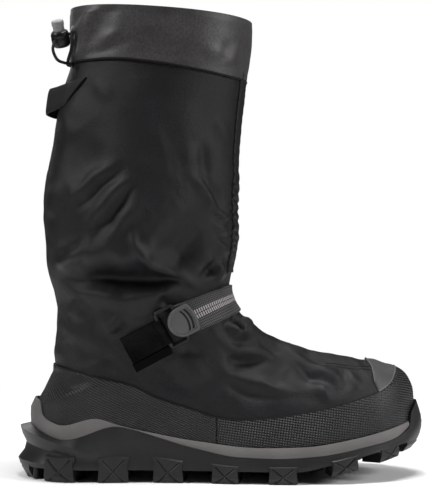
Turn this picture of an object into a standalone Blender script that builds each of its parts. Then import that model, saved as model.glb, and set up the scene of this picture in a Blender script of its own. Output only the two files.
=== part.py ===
"""A winter overshoe for the right foot, as separate pieces, in metres with Z up.

The toe points to +X and the outer side of the foot is -Y. The floor is z = 0, and the origin
is on it, under the middle of the sole. Tables are in millimetres, and MM turns them to metres.

Every large piece comes from two functions. form_point gives the upper's outer surface: rings
that run once round the boot, from the back, along the outer side, over the front and home
along the inner side. sole_point gives the walls of the sole, as an outline pushed outwards.
"""
import math

import bmesh
import bpy
import numpy as np
from mathutils import Matrix, Vector

MM = 0.001
GAP = 0.3              # between two pieces that touch
ROUND = 40             # points round one ring
FABRIC = 2.0           # wall of the upper: nylon with its lining
OVERLAY = 1.2          # rubberised rand, patch and flap
CUFF_WALL = 1.3
WEBBING = 2.2          # instep strap and its anchor tab
SOLE_FLOOR = 3.0       # outsole above its lugs
CUP_WALL = 1.5         # midsole wall round the foot
INSOLE_WALL = 3.0
CORD_R = 1.25
CORD_STEP = 5.0        # between two points of a cord's curve
BEYOND = 90.0          # a cutter's reach past the side of the boot

X_HEEL, X_TOE = -149.0, 156.8    # ends of the foot's outline

# The foot's outline where it enters the sole: half widths from a centre line that bends
# to the inner side at the toe.
OUTLINE = {
    "x":       (-149.0, -145, -135, -120, -100, -60, -20, 20, 60, 90, 120, 140, 152, 156.8),
    "lateral": (0.0, 16, 31, 41, 45, 44, 47, 52, 55, 53.5, 46.5, 33.5, 17, 0),
    "medial":  (0.0, 16, 31, 41, 44, 40, 41, 47, 54, 55, 46.5, 33.5, 17, 0),
    "centre":  (0.0, 0, 0, 0, 0, 0, 0, 0, 0, 0.8, 2.5, 3.5, 4, 4),
}

# Heights that depend on x alone. feather is the top of the sole, footbed its inside,
# grey_edge the line between dark outsole and grey midsole, bumper how far the outsole rises
# above that line at the toe, and lug_foot the ground line.
HEIGHTS = {
    "feather": ((-149, 62), (-143.5, 59.5), (-140.5, 49.5), (-134, 45.2), (-124.7, 42.9),
                (-98.4, 48.8), (-80.4, 44), (-59.2, 38.9), (-16, 31.4), (30.7, 27),
                (65.6, 27.9), (101, 33), (150, 44), (156.8, 46)),
    "footbed": ((-149, 24), (-60, 21.5), (0, 17), (50, 16.5), (90, 21.5), (125, 31),
                (140, 35), (156.8, 38)),
    "grey_edge": ((-149, 41.5), (-122, 32.1), (-84, 42.6), (-72.5, 41.3), (-59, 37.4),
                  (-16, 25.5), (13.2, 20.2), (42.3, 19.2), (77.3, 21.2), (112.8, 27.6),
                  (136, 33.4), (145, 42), (156.8, 45)),
    "bumper": ((-149, 0), (141, 0), (149.3, 5.5), (154.9, 13.2), (156.8, 14.7)),
    "lug_foot": ((-149, 0), (58, 0), (86, 5.5), (125, 15.6), (140, 19.4), (156.8, 21.5)),
    "lug_height": ((-149, 9.4), (60, 9.4), (100, 8.8), (156.8, 7.5)),
}
FORM_FOOT = 46.0       # above this the upper starts to draw in at heel and toe

# Rings of the upper, bottom to top: where the ring crosses the back and the front,
# how far it is leg (1) or foot (0), and the half width of the leg there.
SECTIONS = (
    # x_back, z_back, x_front, z_front, leg, half
    (-149.0, 50.0, 156.8, 52.0, 0.00, 50),
    (-148.3, 57.0, 155.0, 70.4, 0.00, 50),
    (-145.0, 63.0, 146.9, 82.8, 0.00, 50),
    (-142.0, 68.0, 130.8, 89.3, 0.00, 50),
    (-139.6, 73.0, 111.0, 92.8, 0.00, 50),
    (-137.0, 78.5, 88.0, 97.2, 0.06, 50),
    (-134.6, 84.0, 67.0, 102.4, 0.15, 50),
    (-134.5, 89.5, 51.0, 107.5, 0.28, 50),
    (-134.8, 97.0, 38.0, 113.3, 0.44, 51),
    (-134.0, 106.5, 27.0, 120.7, 0.60, 51),
    (-133.2, 118.0, 16.8, 130.2, 0.78, 52),
    (-132.7, 132.0, 9.9, 141.3, 0.92, 53),
    (-134.5, 147.0, 7.6, 151.0, 1.00, 55),
    (-139.0, 166.0, 9.6, 165.0, 1.00, 59),
    (-142.0, 195.0, 13.1, 190.0, 1.00, 63),
    (-142.8, 225.0, 12.8, 220.0, 1.00, 65),
    (-138.0, 253.0, 14.0, 252.0, 1.00, 63),
    (-132.8, 287.0, 16.2, 285.0, 1.00, 61),
    (-127.3, 312.0, 18.6, 309.0, 1.00, 60),
    (-121.4, 331.9, 20.4, 322.9, 1.00, 60),
    (-120.0, 354.0, 22.8, 345.0, 1.00, 60),
    (-120.2, 375.4, 24.2, 365.2, 1.00, 60),
)
HEM = 19               # the section where the cuff's lower edge lies
THROAT = 12            # the narrowest section, where foot becomes leg
LEG_FULLNESS = 2.2     # exponent of the leg's oval: 2 is an ellipse
INSTEP_ROUND = ((-149, 1.7), (40, 1.7), (120, 2.4), (156.8, 2.6))

# The rubber rand's upper edge and the toe patch, as outlines seen from the side.
RAND_EDGE = ((-160, 92), (-135, 89), (-113.3, 85.2), (-98, 81.5), (-73.4, 76), (-48.8, 65),
             (-21, 56), (-2.9, 50.2), (17, 48.3), (47, 50.8), (73, 55), (92, 59.3),
             (112, 64.8), (121, 67.6))
RAND_SEAM = -2.9
TOE_PATCH = ((118.6, 104), (118.6, 91.5), (121, 86), (122.2, 72), (124, 69.6), (126, 69.6),
             (134.5, 75), (140.7, 84), (144, 92.5), (144, 104))

# The outsole's wall, a row per station: heights and how far each ledge stands out.
# The rows of ledges are, upwards: lower fin, step, valley, step, upper fin.
WALL = {
    "x":     (-149, -125, -98, -59, -16, 42, 85, 113, 143, 156.8),
    "out_0": (13.8, 8.5, 6.0, 5.6, 5.8, 6.6, 6.4, 6.0, 5.2, 4.2),
    "z_1":   (14.0, 13.0, 12.0, 14.0, 12.0, 11.0, 16.0, 22.4, 29.0, 33.0),
    "out_1": (15.2, 9.5, 6.2, 5.5, 5.6, 6.4, 6.2, 5.8, 5.2, 5.9),
    "z_2":   (20.5, 18.0, 15.0, 19.0, 15.0, 12.5, 17.0, 23.3, 30.0, 38.0),
    "out_2": (10.3, 7.0, 5.6, 5.0, 5.3, 6.2, 6.0, 5.6, 5.0, 7.2),
    "z_3":   (27.0, 22.0, 18.0, 23.0, 17.5, 14.0, 18.0, 24.2, 31.0, 43.0),
    "out_3": (8.7, 6.0, 5.2, 4.6, 5.0, 5.9, 5.7, 5.4, 4.9, 7.4),
    "z_4":   (33.6, 26.0, 20.0, 28.0, 20.0, 15.5, 19.0, 25.1, 32.0, 48.0),
    "out_4": (12.0, 7.5, 5.4, 4.3, 4.8, 5.6, 5.4, 5.2, 4.8, 6.6),
    "z_5":   (39.5, 30.0, 22.5, 33.0, 22.5, 17.0, 20.0, 26.2, 33.2, 53.0),
    "out_5": (13.6, 8.6, 5.8, 4.0, 4.5, 5.3, 5.2, 5.0, 4.6, 5.2),
    "out_6": (5.2, 4.4, 3.6, 3.6, 4.2, 5.0, 5.0, 4.8, 4.4, 2.9),
}
WALL_LEDGES = 5
CUP_INSIDE = 2.1       # inner face of the outsole's wall
BEVEL_DROP = 2.2       # its bevelled top falls this much to the inside

# The midsole's outer face: at its lower edge, half way, and at the feather line.
GREY_FACE = {
    "x":   (-149, -122, -89, -81, -72.5, -64, -54, -16, 42, 113, 130, 139, 156.8),
    "low": (5.0, 4.0, 3.2, 2.0, 1.8, 2.0, 3.0, 3.8, 4.6, 4.4, 4.0, 1.8, 1.8),
    "mid": (4.4, 3.6, 3.0, 2.0, 1.75, 2.0, 2.8, 3.7, 4.4, 4.1, 3.6, 1.75, 1.75),
    "top": (1.7, 1.8, 1.8, 1.7, 1.7, 1.7, 1.8, 2.0, 2.4, 2.2, 1.9, 1.7, 1.7),
}

# Side lugs: middle, width, and the share of the dark wall that the panel climbs.
SIDE_LUGS = (
    (-122.0, 19, 0.50), (-84.0, 24, 0.36), (-40.6, 24, 0.46), (4.2, 21, 0.52),
    (48.7, 22, 0.55), (95.5, 20, 0.60), (129.8, 15, 0.60),
)
LUG_INWARDS = 21.0     # how far a side lug runs in under the sole
END_LUG_INWARDS = 13.0
HEEL_LUG = (-141.5, 8.5, 12.6)   # where it ends on the outline, and its low and high outset
TOE_LUG = (146.5, -1.0, 3.4)
CENTRE_LUGS = (-122, -82, -41, 0, 41, 78, 108)
CENTRE_LUG_SIZE = (21.0, 30.0)
CENTRE_LUG_CORNER = (0.45, 0.55)

# The hook buckle, its ring and the tab lie on the outer side in one line.
STRAP_MIDDLE = (-38.5, 122.2)    # x and z of the ring's middle
STRAP_ANGLE = math.radians(28)
RING_SIZE = (11.0, 34.0)
RING_WIRE = 1.4
RING_LIFT = 2.6
BUCKLE_SIZE = (27.0, 25.0, 3.0)
BUCKLE_FROM = -6.5
BUCKLE_LIFT = 4.4
BUCKLE_SLOTS = ((5.0, 1.6), (9.0, 1.8))    # from the buckle's straight edge, and the bow
SLOT_SIZE = (1.5, 18.0)
TAB_SPAN = (-39.0, -7.2)
TAB_HALF = 12.5
BAR_SPAN = (-41.0, -10.0)
BAR_EDGES = (-20.0, -13.0)
STRAP_LATERAL = ((-37.3, 137), (-24.5, 142.6), (9.7, 155), (34, 163), (40, 141.5),
                 (18.6, 134), (-15.2, 121.4), (-25.6, 114.9))
STRAP_MEDIAL = ((-75, 121), (9.7, 155), (34, 163), (40, 141.5), (18.6, 134), (-66, 101))

# The front flap that covers the opening, as a strip along the shin.
FLAP_FROM, FLAP_TO = 163.5, 321.0
FLAP_DEPTH = 4.2

# The pull tab: webbing round the back seam. Each edge has its height and the turn where it
# ends, and the loop droops a little on its way to the back.
TAB_WALL = 1.6
TAB_PROUD = (11.5, 14.0)         # how far the loop stands out, at its lower and upper edge
PULL_TAB_LOW = (296.5, 0.50)
PULL_TAB_HIGH = (317.0, 0.78)
PULL_TAB_DROP = 5.5
PULL_TAB_POINTS = 9
PULL_TAB_BULGE = ((-3.4, -14.5, 0), (-9.2, -6.5, 0))    # from the leg's back line

# The cord lock behind the cuff, its button, and the two ends of the drawcord.
LOCK_CENTRE = (-126.9, -31.0, 349.2)
LOCK_AXIS = (-0.147, -0.395, 0.906)
LOCK_HOLE_AXIS = (0.468, 0.780, 0.416)
LOCK_HOLE_R = 1.58
LOCK_HOLE_HEIGHT = 0.5
LOCK_TRAVEL = 2.5
EYELET_TURN = 0.362
EYELET_HEIGHT = 355.0
EYELET_R = (3.5, 5.5)
EYELET_WALL = (0.1, 1.3)         # how far its two faces are off the cuff
CORD_LIFT = 0.55                 # a cord's end above what it lies on
HEM_HEIGHT = 329.2               # where both cords end


def table_curve(xs, ys, x):
    """A smooth line through a table's points that never overshoots them.

    It is a cubic between each two points. The slope at a point is the harmonic mean of the
    slopes beside it, or level where they change sign.
    """
    xs, ys = np.asarray(xs, float), np.asarray(ys, float)
    x = np.clip(np.asarray(x, float), xs[0], xs[-1])
    step = np.diff(xs)
    rise = np.diff(ys) / step
    slope = np.empty_like(ys)
    slope[0], slope[-1] = rise[0], rise[-1]
    product = rise[:-1] * rise[1:]
    total = np.where(product > 0, rise[:-1] + rise[1:], 1)
    slope[1:-1] = np.where(product > 0, 2 * product / total, 0)
    i = np.clip(np.searchsorted(xs, x) - 1, 0, len(xs) - 2)
    t = (x - xs[i]) / step[i]
    return (ys[i] * (1 + 2 * t) * (1 - t) ** 2 + step[i] * slope[i] * t * (1 - t) ** 2
            + ys[i + 1] * t * t * (3 - 2 * t) + step[i] * slope[i + 1] * t * t * (t - 1))


def height(name, x):
    """One of the heights that depend on x alone."""
    xs, zs = zip(*HEIGHTS[name])
    return table_curve(xs, zs, x)


def outline_turn(x):
    """The angle of the outline at x: 0 at the heel and pi at the toe."""
    share = np.clip((np.asarray(x, float) - X_HEEL) / (X_TOE - X_HEEL), 0, 1)
    return np.arccos(1 - 2 * share)


def outline_column(name, x):
    """A column of OUTLINE at x, smooth in the turn so that heel and toe come out round."""
    return table_curve(outline_turn(OUTLINE["x"]), OUTLINE[name], outline_turn(x))


def half_width(x, turn):
    """The outline's half width at x on the side that the turn is on, with its sign."""
    outer = np.sin(turn) >= 0
    return np.where(outer, -outline_column("lateral", x), outline_column("medial", x))


def ridge_height(x):
    """Height of the foot's top line at x, from the sections' fronts, steep under the leg."""
    front = [(row[2], row[3]) for row in reversed(SECTIONS[:THROAT + 1])]
    xs, zs = zip(*([(-60.0, 620.0)] + front))
    return table_curve(xs, zs, x)


def form_point(section, turn):
    """Points on the outer surface of the upper, on one section, at each turn round it.

    x goes from back to front as a cosine, z in a straight line with it. A foot section is
    the outline drawn in towards the top line. A leg section is an oval.
    """
    x_back, z_back, x_front, z_front, leg, half = section
    share = (1 - np.cos(turn)) / 2
    x = x_back + (x_front - x_back) * share
    z = z_back + (z_front - z_back) * share
    x_outline = x - (x_back - X_HEEL) * (1 - share) ** 2
    low = np.minimum(height("feather", x), FORM_FOOT)
    rise = np.clip((z - low) / (ridge_height(x) - low), 0, 1)
    xs, powers = zip(*INSTEP_ROUND)
    foot = half_width(x_outline, turn) * np.sqrt(1 - rise ** table_curve(xs, powers, x))
    oval = (1 - np.abs(np.cos(turn)) ** LEG_FULLNESS) ** (1 / LEG_FULLNESS)
    side = np.where(np.sin(turn) >= 0, -1, 1)
    y = (1 - leg) * (foot + outline_column("centre", x)) + leg * side * half * oval
    return np.stack([x, y, z], axis=-1)


def outline_ring(turn):
    """The outline at each turn, as x and y."""
    x = X_HEEL + (X_TOE - X_HEEL) * (1 - np.cos(turn)) / 2
    y = half_width(x, turn) + outline_column("centre", x)
    return x, y


def sole_point(turn, outset, z):
    """A point of the sole's wall: the outline pushed outwards by outset, at height z."""
    x, y = outline_ring(turn)
    small = 0.02
    x_1, y_1 = outline_ring(turn - small)
    x_2, y_2 = outline_ring(turn + small)
    along = np.hypot(x_2 - x_1, y_2 - y_1)
    return np.stack([x + outset * (y_2 - y_1) / along,
                     y - outset * (x_2 - x_1) / along, z + 0 * x], axis=-1)


def tread_ring(turn, outset, lift):
    """A ring that lies a lift above the sole between the lugs, which curves with x alone."""
    ring = sole_point(turn, outset, 0)
    x = ring[..., 0]
    ring[..., 2] = height("lug_foot", x) + height("lug_height", x) + lift
    return ring


def turns():
    """The turns of the points on a ring, from the back by the outer side to the front."""
    return np.arange(ROUND) * 2 * math.pi / ROUND


def form_grid():
    """The upper's outer surface as rings of points: two on the sole's outline, then SECTIONS."""
    turn = turns()
    x, y = outline_ring(turn)
    bottom = np.stack([x, y, height("footbed", x)], axis=-1)
    feather = np.stack([x, y, np.minimum(height("feather", x), FORM_FOOT)], axis=-1)
    return np.stack([bottom, feather] + [form_point(row, turn) for row in SECTIONS])


def grid_normals(grid):
    """Outward directions of a grid of rings, from the differences along it and across it."""
    around = np.roll(grid, -1, axis=1) - np.roll(grid, 1, axis=1)
    upwards = np.gradient(grid, axis=0)
    normal = np.cross(around, upwards)
    return normal / np.linalg.norm(normal, axis=-1, keepdims=True)


GRID = form_grid()
NORMALS = grid_normals(GRID)
FIRST_SECTION = 2      # rows of the grid below SECTIONS


def surface_at(x, z, side):
    """The upper's surface at a given x and z on one side: the point and its direction."""
    half = ROUND // 2
    columns = range(1, half - 1) if side < 0 else range(half + 1, ROUND - 1)
    for row in range(1, len(GRID) - 1):
        for column in columns:
            corners = ((row, column), (row, column + 1), (row + 1, column + 1),
                       (row + 1, column))
            for a, b, c in ((0, 1, 2), (0, 2, 3)):
                p, q, r = (GRID[corners[i]] for i in (a, b, c))
                matrix = np.array([[q[0] - p[0], r[0] - p[0]], [q[2] - p[2], r[2] - p[2]]])
                if abs(np.linalg.det(matrix)) < 1e-9:
                    continue
                u, v = np.linalg.solve(matrix, (x - p[0], z - p[2]))
                if min(u, v) >= -1e-6 and u + v <= 1 + 1e-6:
                    n_p, n_q, n_r = (NORMALS[corners[i]] for i in (a, b, c))
                    normal = n_p + u * (n_q - n_p) + v * (n_r - n_p)
                    return p + u * (q - p) + v * (r - p), normal / np.linalg.norm(normal)
    raise ValueError("no surface at x %.1f, z %.1f" % (x, z))


def leg_at(turn, z, lift):
    """A point at a given turn and height, lifted off the leg, and its direction."""
    small = 0.03
    column = np.array([[form_point(row, np.array(turn + d)) for row in SECTIONS]
                       for d in (-small, 0, small)])
    before, here, after = (
        np.array([np.interp(z, line[:, 2], line[:, i]) for i in range(3)]) for line in column)
    higher = np.array([np.interp(z + 4, column[1][:, 2], column[1][:, i]) for i in range(3)])
    normal = np.cross(after - before, higher - here)
    normal /= np.linalg.norm(normal)
    return here + lift * normal, normal


def smooth_path(points, step):
    """Points along a smooth curve through a list of points, about a step apart."""
    points = [np.array(p, float) for p in points]
    ends = [2 * points[0] - points[1]] + points + [2 * points[-1] - points[-2]]
    path = [points[0]]
    for a, b, c, d in zip(ends, ends[1:], ends[2:], ends[3:]):
        count = max(1, round(float(np.linalg.norm(c - b)) / step))
        for i in range(1, count + 1):
            t = i / count
            path.append(0.5 * (2 * b + (c - a) * t + (2 * a - 5 * b + 4 * c - d) * t * t
                               + (3 * b - a - 3 * c + d) * t ** 3))
    return path


def clear_scene():
    """Remove what is in the scene."""
    for item in list(bpy.data.objects):
        bpy.data.objects.remove(item, do_unlink=True)


def new_collection(name):
    """A collection linked to the scene."""
    group = bpy.data.collections.new(name)
    bpy.context.scene.collection.children.link(group)
    return group


def new_material(name, colour, roughness, metallic=0.0):
    """A plain material for one piece."""
    made = bpy.data.materials.new(name)
    made.use_nodes = True
    shader = made.node_tree.nodes["Principled BSDF"]
    shader.inputs["Base Color"].default_value = (*colour, 1)
    shader.inputs["Roughness"].default_value = roughness
    shader.inputs["Metallic"].default_value = metallic
    return made


NYLON = ((0.020, 0.019, 0.021), 0.62)
SATIN = ((0.045, 0.045, 0.046), 0.48)
RAND = ((0.030, 0.030, 0.031), 0.55)
GREY_FOAM = ((0.150, 0.140, 0.138), 0.70)
DARK_RUBBER = ((0.032, 0.032, 0.034), 0.60)
WEB = ((0.060, 0.058, 0.060), 0.80)
BLACK_WEB = ((0.012, 0.012, 0.013), 0.85)
GREY_PLASTIC = ((0.105, 0.105, 0.108), 0.42)
BLACK_PLASTIC = ((0.018, 0.018, 0.020), 0.38)
PALE_METAL = ((0.45, 0.45, 0.46), 0.35, 1.0)


def add_object(name, data, group, look=None):
    """An object for a mesh or curve, with its own material, smooth where it is round."""
    made = bpy.data.objects.new(name, data)
    group.objects.link(made)
    if look:
        data.materials.append(new_material(name, *look))
    if isinstance(data, bpy.types.Mesh) and look:
        data.shade_smooth()
        data.set_sharp_from_angle(angle=math.radians(40))
    if look is None:
        made.hide_render = True
        made.display_type = "WIRE"
    return made


def rings_mesh(name, grid, capped):
    """A mesh of rings joined upwards, left open, or closed at both ends by rows of faces.

    The faces are triangles, all split the same way, so that a piece laid over another one's
    rings stays parallel to it.
    """
    rows, count = grid.shape[:2]
    mesh = bmesh.new()
    points = [[mesh.verts.new(Vector(p) * MM) for p in ring] for ring in grid]
    for lower, upper in zip(points, points[1:]):
        for i in range(count):
            j = (i + 1) % count
            mesh.faces.new((lower[i], lower[j], upper[j]))
            mesh.faces.new((lower[i], upper[j], upper[i]))
    if capped:
        half = count // 2
        for ring, upwards in ((points[0], False), (points[-1], True)):
            strips = [(ring[0], ring[1], ring[-1]), (ring[half - 1], ring[half], ring[half + 1])]
            strips += [(ring[i], ring[i + 1], ring[-i - 1]) for i in range(1, half - 1)]
            strips += [(ring[i], ring[-i - 1], ring[-i]) for i in range(1, half - 1)]
            for face in strips:
                mesh.faces.new(face if upwards else face[::-1])
    data = bpy.data.meshes.new(name)
    mesh.to_mesh(data)
    mesh.free()
    return data


def prism_mesh(name, outline, y_from, y_to):
    """An outline in x and z, carried along y. It is turned so that its faces point out."""
    area = sum(a[0] * b[1] - b[0] * a[1] for a, b in zip(outline, outline[1:] + outline[:1]))
    if area < 0:
        outline = outline[::-1]
    mesh = bmesh.new()
    near = [mesh.verts.new(Vector((x, y_from, z)) * MM) for x, z in outline]
    far = [mesh.verts.new(Vector((x, y_to, z)) * MM) for x, z in outline]
    mesh.faces.new(near)
    mesh.faces.new(far[::-1])
    for i in range(len(near)):
        j = (i + 1) % len(near)
        mesh.faces.new((near[j], near[i], far[i], far[j]))
    data = bpy.data.meshes.new(name)
    mesh.to_mesh(data)
    mesh.free()
    return data


def add_modifier(target, kind, **settings):
    """Put a modifier on an object."""
    modifier = target.modifiers.new(kind.title(), kind)
    for key, value in settings.items():
        setattr(modifier, key, value)


def add_shell(name, rows, lift, wall, group, look):
    """A wall that grows outwards from the upper's own rings, a lift away from them."""
    low, high = rows
    grid = GRID[low:high] + lift * NORMALS[low:high]
    shell = add_object(name, rings_mesh(name, grid, False), group, look)
    add_modifier(shell, "SOLIDIFY", thickness=wall * MM, offset=1)
    return shell


def cut_shell(shell, outline, y_from, y_to, cutters):
    """Keep of a shell what lies inside a prism, seen from the side."""
    name = shell.name + "_cutter"
    cutter = add_object(name, prism_mesh(name, list(outline), y_from, y_to), cutters)
    add_modifier(shell, "BOOLEAN", operation="INTERSECT", object=cutter)


def make_upper(group):
    """The upper: one hollow wall, open at the collar and underneath."""
    upper = add_object("upper", rings_mesh("upper", GRID, False), group, NYLON)
    add_modifier(upper, "SOLIDIFY", thickness=FABRIC * MM, offset=-1)


def make_cuff(group):
    """The smooth cuff with the drawcord channel, laid over the top of the shaft."""
    rows = (FIRST_SECTION + HEM, len(GRID))
    add_shell("cuff", rows, GAP, CUFF_WALL, group, SATIN)


def rand_outline(x_from, x_to, ends):
    """The rand between two x: along the feather line and home along its upper edge.

    The lower line bends where the midsole's rings have their points, so that it follows the
    midsole's own straight edges.
    """
    stations = [float(x) for x in outline_ring(turns()[:ROUND // 2 + 1])[0]]
    xs = [x_from] + [x for x in stations if x_from < x < x_to] + [x_to]
    low = [(x, float(height("feather", x)) + 1.6 * GAP) for x in xs]
    high = [(x, z) for x, z in RAND_EDGE if x_from < x < x_to]
    return low + ends + high[::-1]


def make_rand(group, cutters):
    """The rubberised rand in two panels that meet at a seam, and the patch on the toe."""
    seam_top = float(np.interp(RAND_SEAM, *zip(*RAND_EDGE)))
    rear = rand_outline(-160, RAND_SEAM - GAP / 2, [(RAND_SEAM - GAP / 2, seam_top)])
    notch = [(x + GAP, z - GAP) for x, z in TOE_PATCH[4:]]
    front = rand_outline(RAND_SEAM + GAP / 2, 170, [(170, 104)] + notch[::-1])
    front.append((RAND_SEAM + GAP / 2, seam_top))
    rows = (1, FIRST_SECTION + 9)
    for name, outline in (("rand_rear", rear), ("rand_front", front)):
        shell = add_shell(name, rows, GAP, OVERLAY, group, RAND)
        cut_shell(shell, outline, -BEYOND, BEYOND, cutters)
    patch = add_shell("toe_patch", (FIRST_SECTION, FIRST_SECTION + 6), GAP, OVERLAY, group,
                      GREY_PLASTIC)
    cut_shell(patch, TOE_PATCH, -BEYOND, BEYOND, cutters)


def make_front_flap(group, cutters):
    """The flap down the shin that covers the boot's opening."""
    front = [(row[2], row[3]) for row in SECTIONS if row[4] == 1]
    zs = np.linspace(FLAP_FROM, FLAP_TO, 8)
    xs = np.interp(zs, [z for _, z in front], [x for x, _ in front]) - FLAP_DEPTH
    outline = [(float(x), float(z)) for x, z in zip(xs, zs)]
    outline += [(60, FLAP_TO), (60, FLAP_FROM)]
    rows = (FIRST_SECTION + THROAT, FIRST_SECTION + HEM + 1)
    shell = add_shell("front_flap", rows, GAP, OVERLAY, group, NYLON)
    cut_shell(shell, outline, -BEYOND, BEYOND, cutters)


def wall_column(name, turn):
    """A column of WALL at each point of the outline."""
    x, _ = outline_ring(turn)
    return table_curve(WALL["x"], WALL[name], x)


def make_outsole(group, cutters):
    """The outsole: a tray with finned walls, and its lugs fused on underneath."""
    turn = turns()
    x, _ = outline_ring(turn)
    top = height("grey_edge", x) + height("bumper", x)
    rings = [tread_ring(turn, wall_column("out_0", turn), 0)]
    for ledge in range(1, WALL_LEDGES + 1):
        outset = wall_column("out_%d" % ledge, turn)
        rings.append(sole_point(turn, outset, wall_column("z_%d" % ledge, turn)))
    rings.append(sole_point(turn, wall_column("out_6", turn), top))
    rings.append(sole_point(turn, CUP_INSIDE, top - BEVEL_DROP))
    rings.append(tread_ring(turn, CUP_INSIDE, SOLE_FLOOR))
    outsole = add_object("outsole", rings_mesh("outsole", np.stack(rings), True), group,
                         DARK_RUBBER)
    lugs = add_object("lugs", lug_mesh(), cutters)
    add_modifier(outsole, "BOOLEAN", operation="UNION", object=lugs)


def add_lug(mesh, turn, profile):
    """A lug that follows the outline: its profile, (outset, z) at each turn, carried along."""
    rings = [[mesh.verts.new(Vector(sole_point(np.array(t), outset, z)) * MM)
              for outset, z in profile(t)] for t in turn]
    for before, after in zip(rings, rings[1:]):
        for i in range(len(before)):
            j = (i + 1) % len(before)
            mesh.faces.new((before[i], before[j], after[j], after[i]))
    mesh.faces.new(rings[0][::-1])
    mesh.faces.new(rings[-1])


def lug_heights(turn, outset):
    """The height of a lug's foot and of the sole above it, at an outset from the outline."""
    x = float(sole_point(np.array(turn), outset, 0)[0])
    foot = float(height("lug_foot", x))
    return foot, foot + float(height("lug_height", x))


def side_lug_profile(climb):
    """The profile of a side lug: a block under the sole and a panel up the wall."""
    def profile(turn):
        x, _ = outline_ring(np.array(turn))
        foot, tread = lug_heights(turn, 0)
        inner_foot, inner_tread = lug_heights(turn, -LUG_INWARDS)
        wall = float(table_curve(WALL["x"], WALL["out_1"], x))
        panel_top = tread + climb * (float(height("grey_edge", x)) - tread)
        return ((-LUG_INWARDS, inner_foot), (wall - 0.4, foot), (wall + 1.2, foot + 4),
                (wall + 0.9, panel_top - 2), (3.3, panel_top), (3.3, tread + 1),
                (-LUG_INWARDS, inner_tread + 1))
    return profile


def end_lug_profile(low_out, high_out):
    """The profile of the lug across the back of the heel, or of the one under the toe."""
    def profile(turn):
        foot, tread = lug_heights(turn, 0)
        inner_foot, inner_tread = lug_heights(turn, -END_LUG_INWARDS)
        return ((-END_LUG_INWARDS, inner_foot), (low_out, foot), (high_out, tread - 2.5),
                (high_out, tread + 1), (-END_LUG_INWARDS, inner_tread + 1))
    return profile


def lug_mesh():
    """All lugs as one mesh of separate blocks."""
    mesh = bmesh.new()
    for middle, width, climb in SIDE_LUGS:
        first, last = outline_turn((middle - width / 2, middle + width / 2))
        steps = np.linspace(first, last, 3)
        add_lug(mesh, steps, side_lug_profile(climb))
        add_lug(mesh, 2 * math.pi - steps[::-1], side_lug_profile(climb))
    heel_half = float(outline_turn(HEEL_LUG[0]))
    toe_half = math.pi - float(outline_turn(TOE_LUG[0]))
    add_lug(mesh, np.linspace(-heel_half, heel_half, 5), end_lug_profile(*HEEL_LUG[1:]))
    add_lug(mesh, math.pi + np.linspace(-toe_half, toe_half, 5), end_lug_profile(*TOE_LUG[1:]))
    length, width = CENTRE_LUG_SIZE
    p, q = CENTRE_LUG_CORNER
    for x in CENTRE_LUGS:
        outline = [(x + length / 2 * a, width / 2 * b) for a, b in
                   ((-1, -q), (-p, -1), (p, -1), (1, -q), (1, q), (p, 1), (-p, 1), (-1, q))]
        shift = float(outline_column("centre", x))
        low = [mesh.verts.new(Vector((a, b + shift, float(height("lug_foot", a)))) * MM)
               for a, b in outline]
        high = [mesh.verts.new(Vector((a, b + shift, float(
            height("lug_foot", a) + height("lug_height", a)) + 1)) * MM) for a, b in outline]
        mesh.faces.new(low[::-1])
        mesh.faces.new(high)
        for i in range(len(low)):
            j = (i + 1) % len(low)
            mesh.faces.new((low[i], low[j], high[j], high[i]))
    bmesh.ops.recalc_face_normals(mesh, faces=mesh.faces)
    data = bpy.data.meshes.new("lugs")
    mesh.to_mesh(data)
    mesh.free()
    return data


def make_midsole(group):
    """The grey midsole: a tray inside the outsole whose wall comes out over the dark one."""
    turn = turns()
    x, _ = outline_ring(turn)
    face = {name: table_curve(GREY_FACE["x"], GREY_FACE[name], x)
            for name in ("low", "mid", "top")}
    edge = height("grey_edge", x) + GAP
    feather = height("feather", x)
    outer, inner = GAP + CUP_WALL, GAP + 0.05
    grid = np.stack([
        tread_ring(turn, outer, SOLE_FLOOR + 1.5 * GAP),
        sole_point(turn, outer, edge - BEVEL_DROP + GAP),
        sole_point(turn, face["low"], edge),
        sole_point(turn, face["mid"], (edge + feather) / 2),
        sole_point(turn, face["top"], feather),
        sole_point(turn, inner, feather),
        sole_point(turn, inner, height("footbed", x) - GAP),
    ])
    add_object("midsole", rings_mesh("midsole", grid, True), group, GREY_FOAM)


def make_insole(group):
    """A thin insole inside the upper, on the midsole's floor."""
    turn = turns()
    x, _ = outline_ring(turn)
    footbed = height("footbed", x)
    inset = -(FABRIC + 2 * GAP)
    grid = np.stack([sole_point(turn, inset, footbed), sole_point(turn, inset, footbed + INSOLE_WALL)])
    add_object("insole", rings_mesh("insole", grid, True), group, BLACK_WEB)


def strap_frame(lift):
    """Axes for the strap's hardware: along the strap, across it, and off the boot."""
    point, normal = surface_at(*STRAP_MIDDLE, -1)
    off = Vector(normal)
    along = Vector((math.cos(STRAP_ANGLE), 0, math.sin(STRAP_ANGLE)))
    along = (along - along.dot(off) * off).normalized()
    across = off.cross(along)
    frame = Matrix((along, across, off)).transposed().to_4x4()
    frame.translation = (Vector(point) + lift * off) * MM
    return frame


def strap_corner(along, across):
    """A place in the strap's line, as x and z seen from the side."""
    c, s = math.cos(STRAP_ANGLE), math.sin(STRAP_ANGLE)
    x, z = STRAP_MIDDLE
    return (x + along * c - across * s, z + along * s + across * c)


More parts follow.
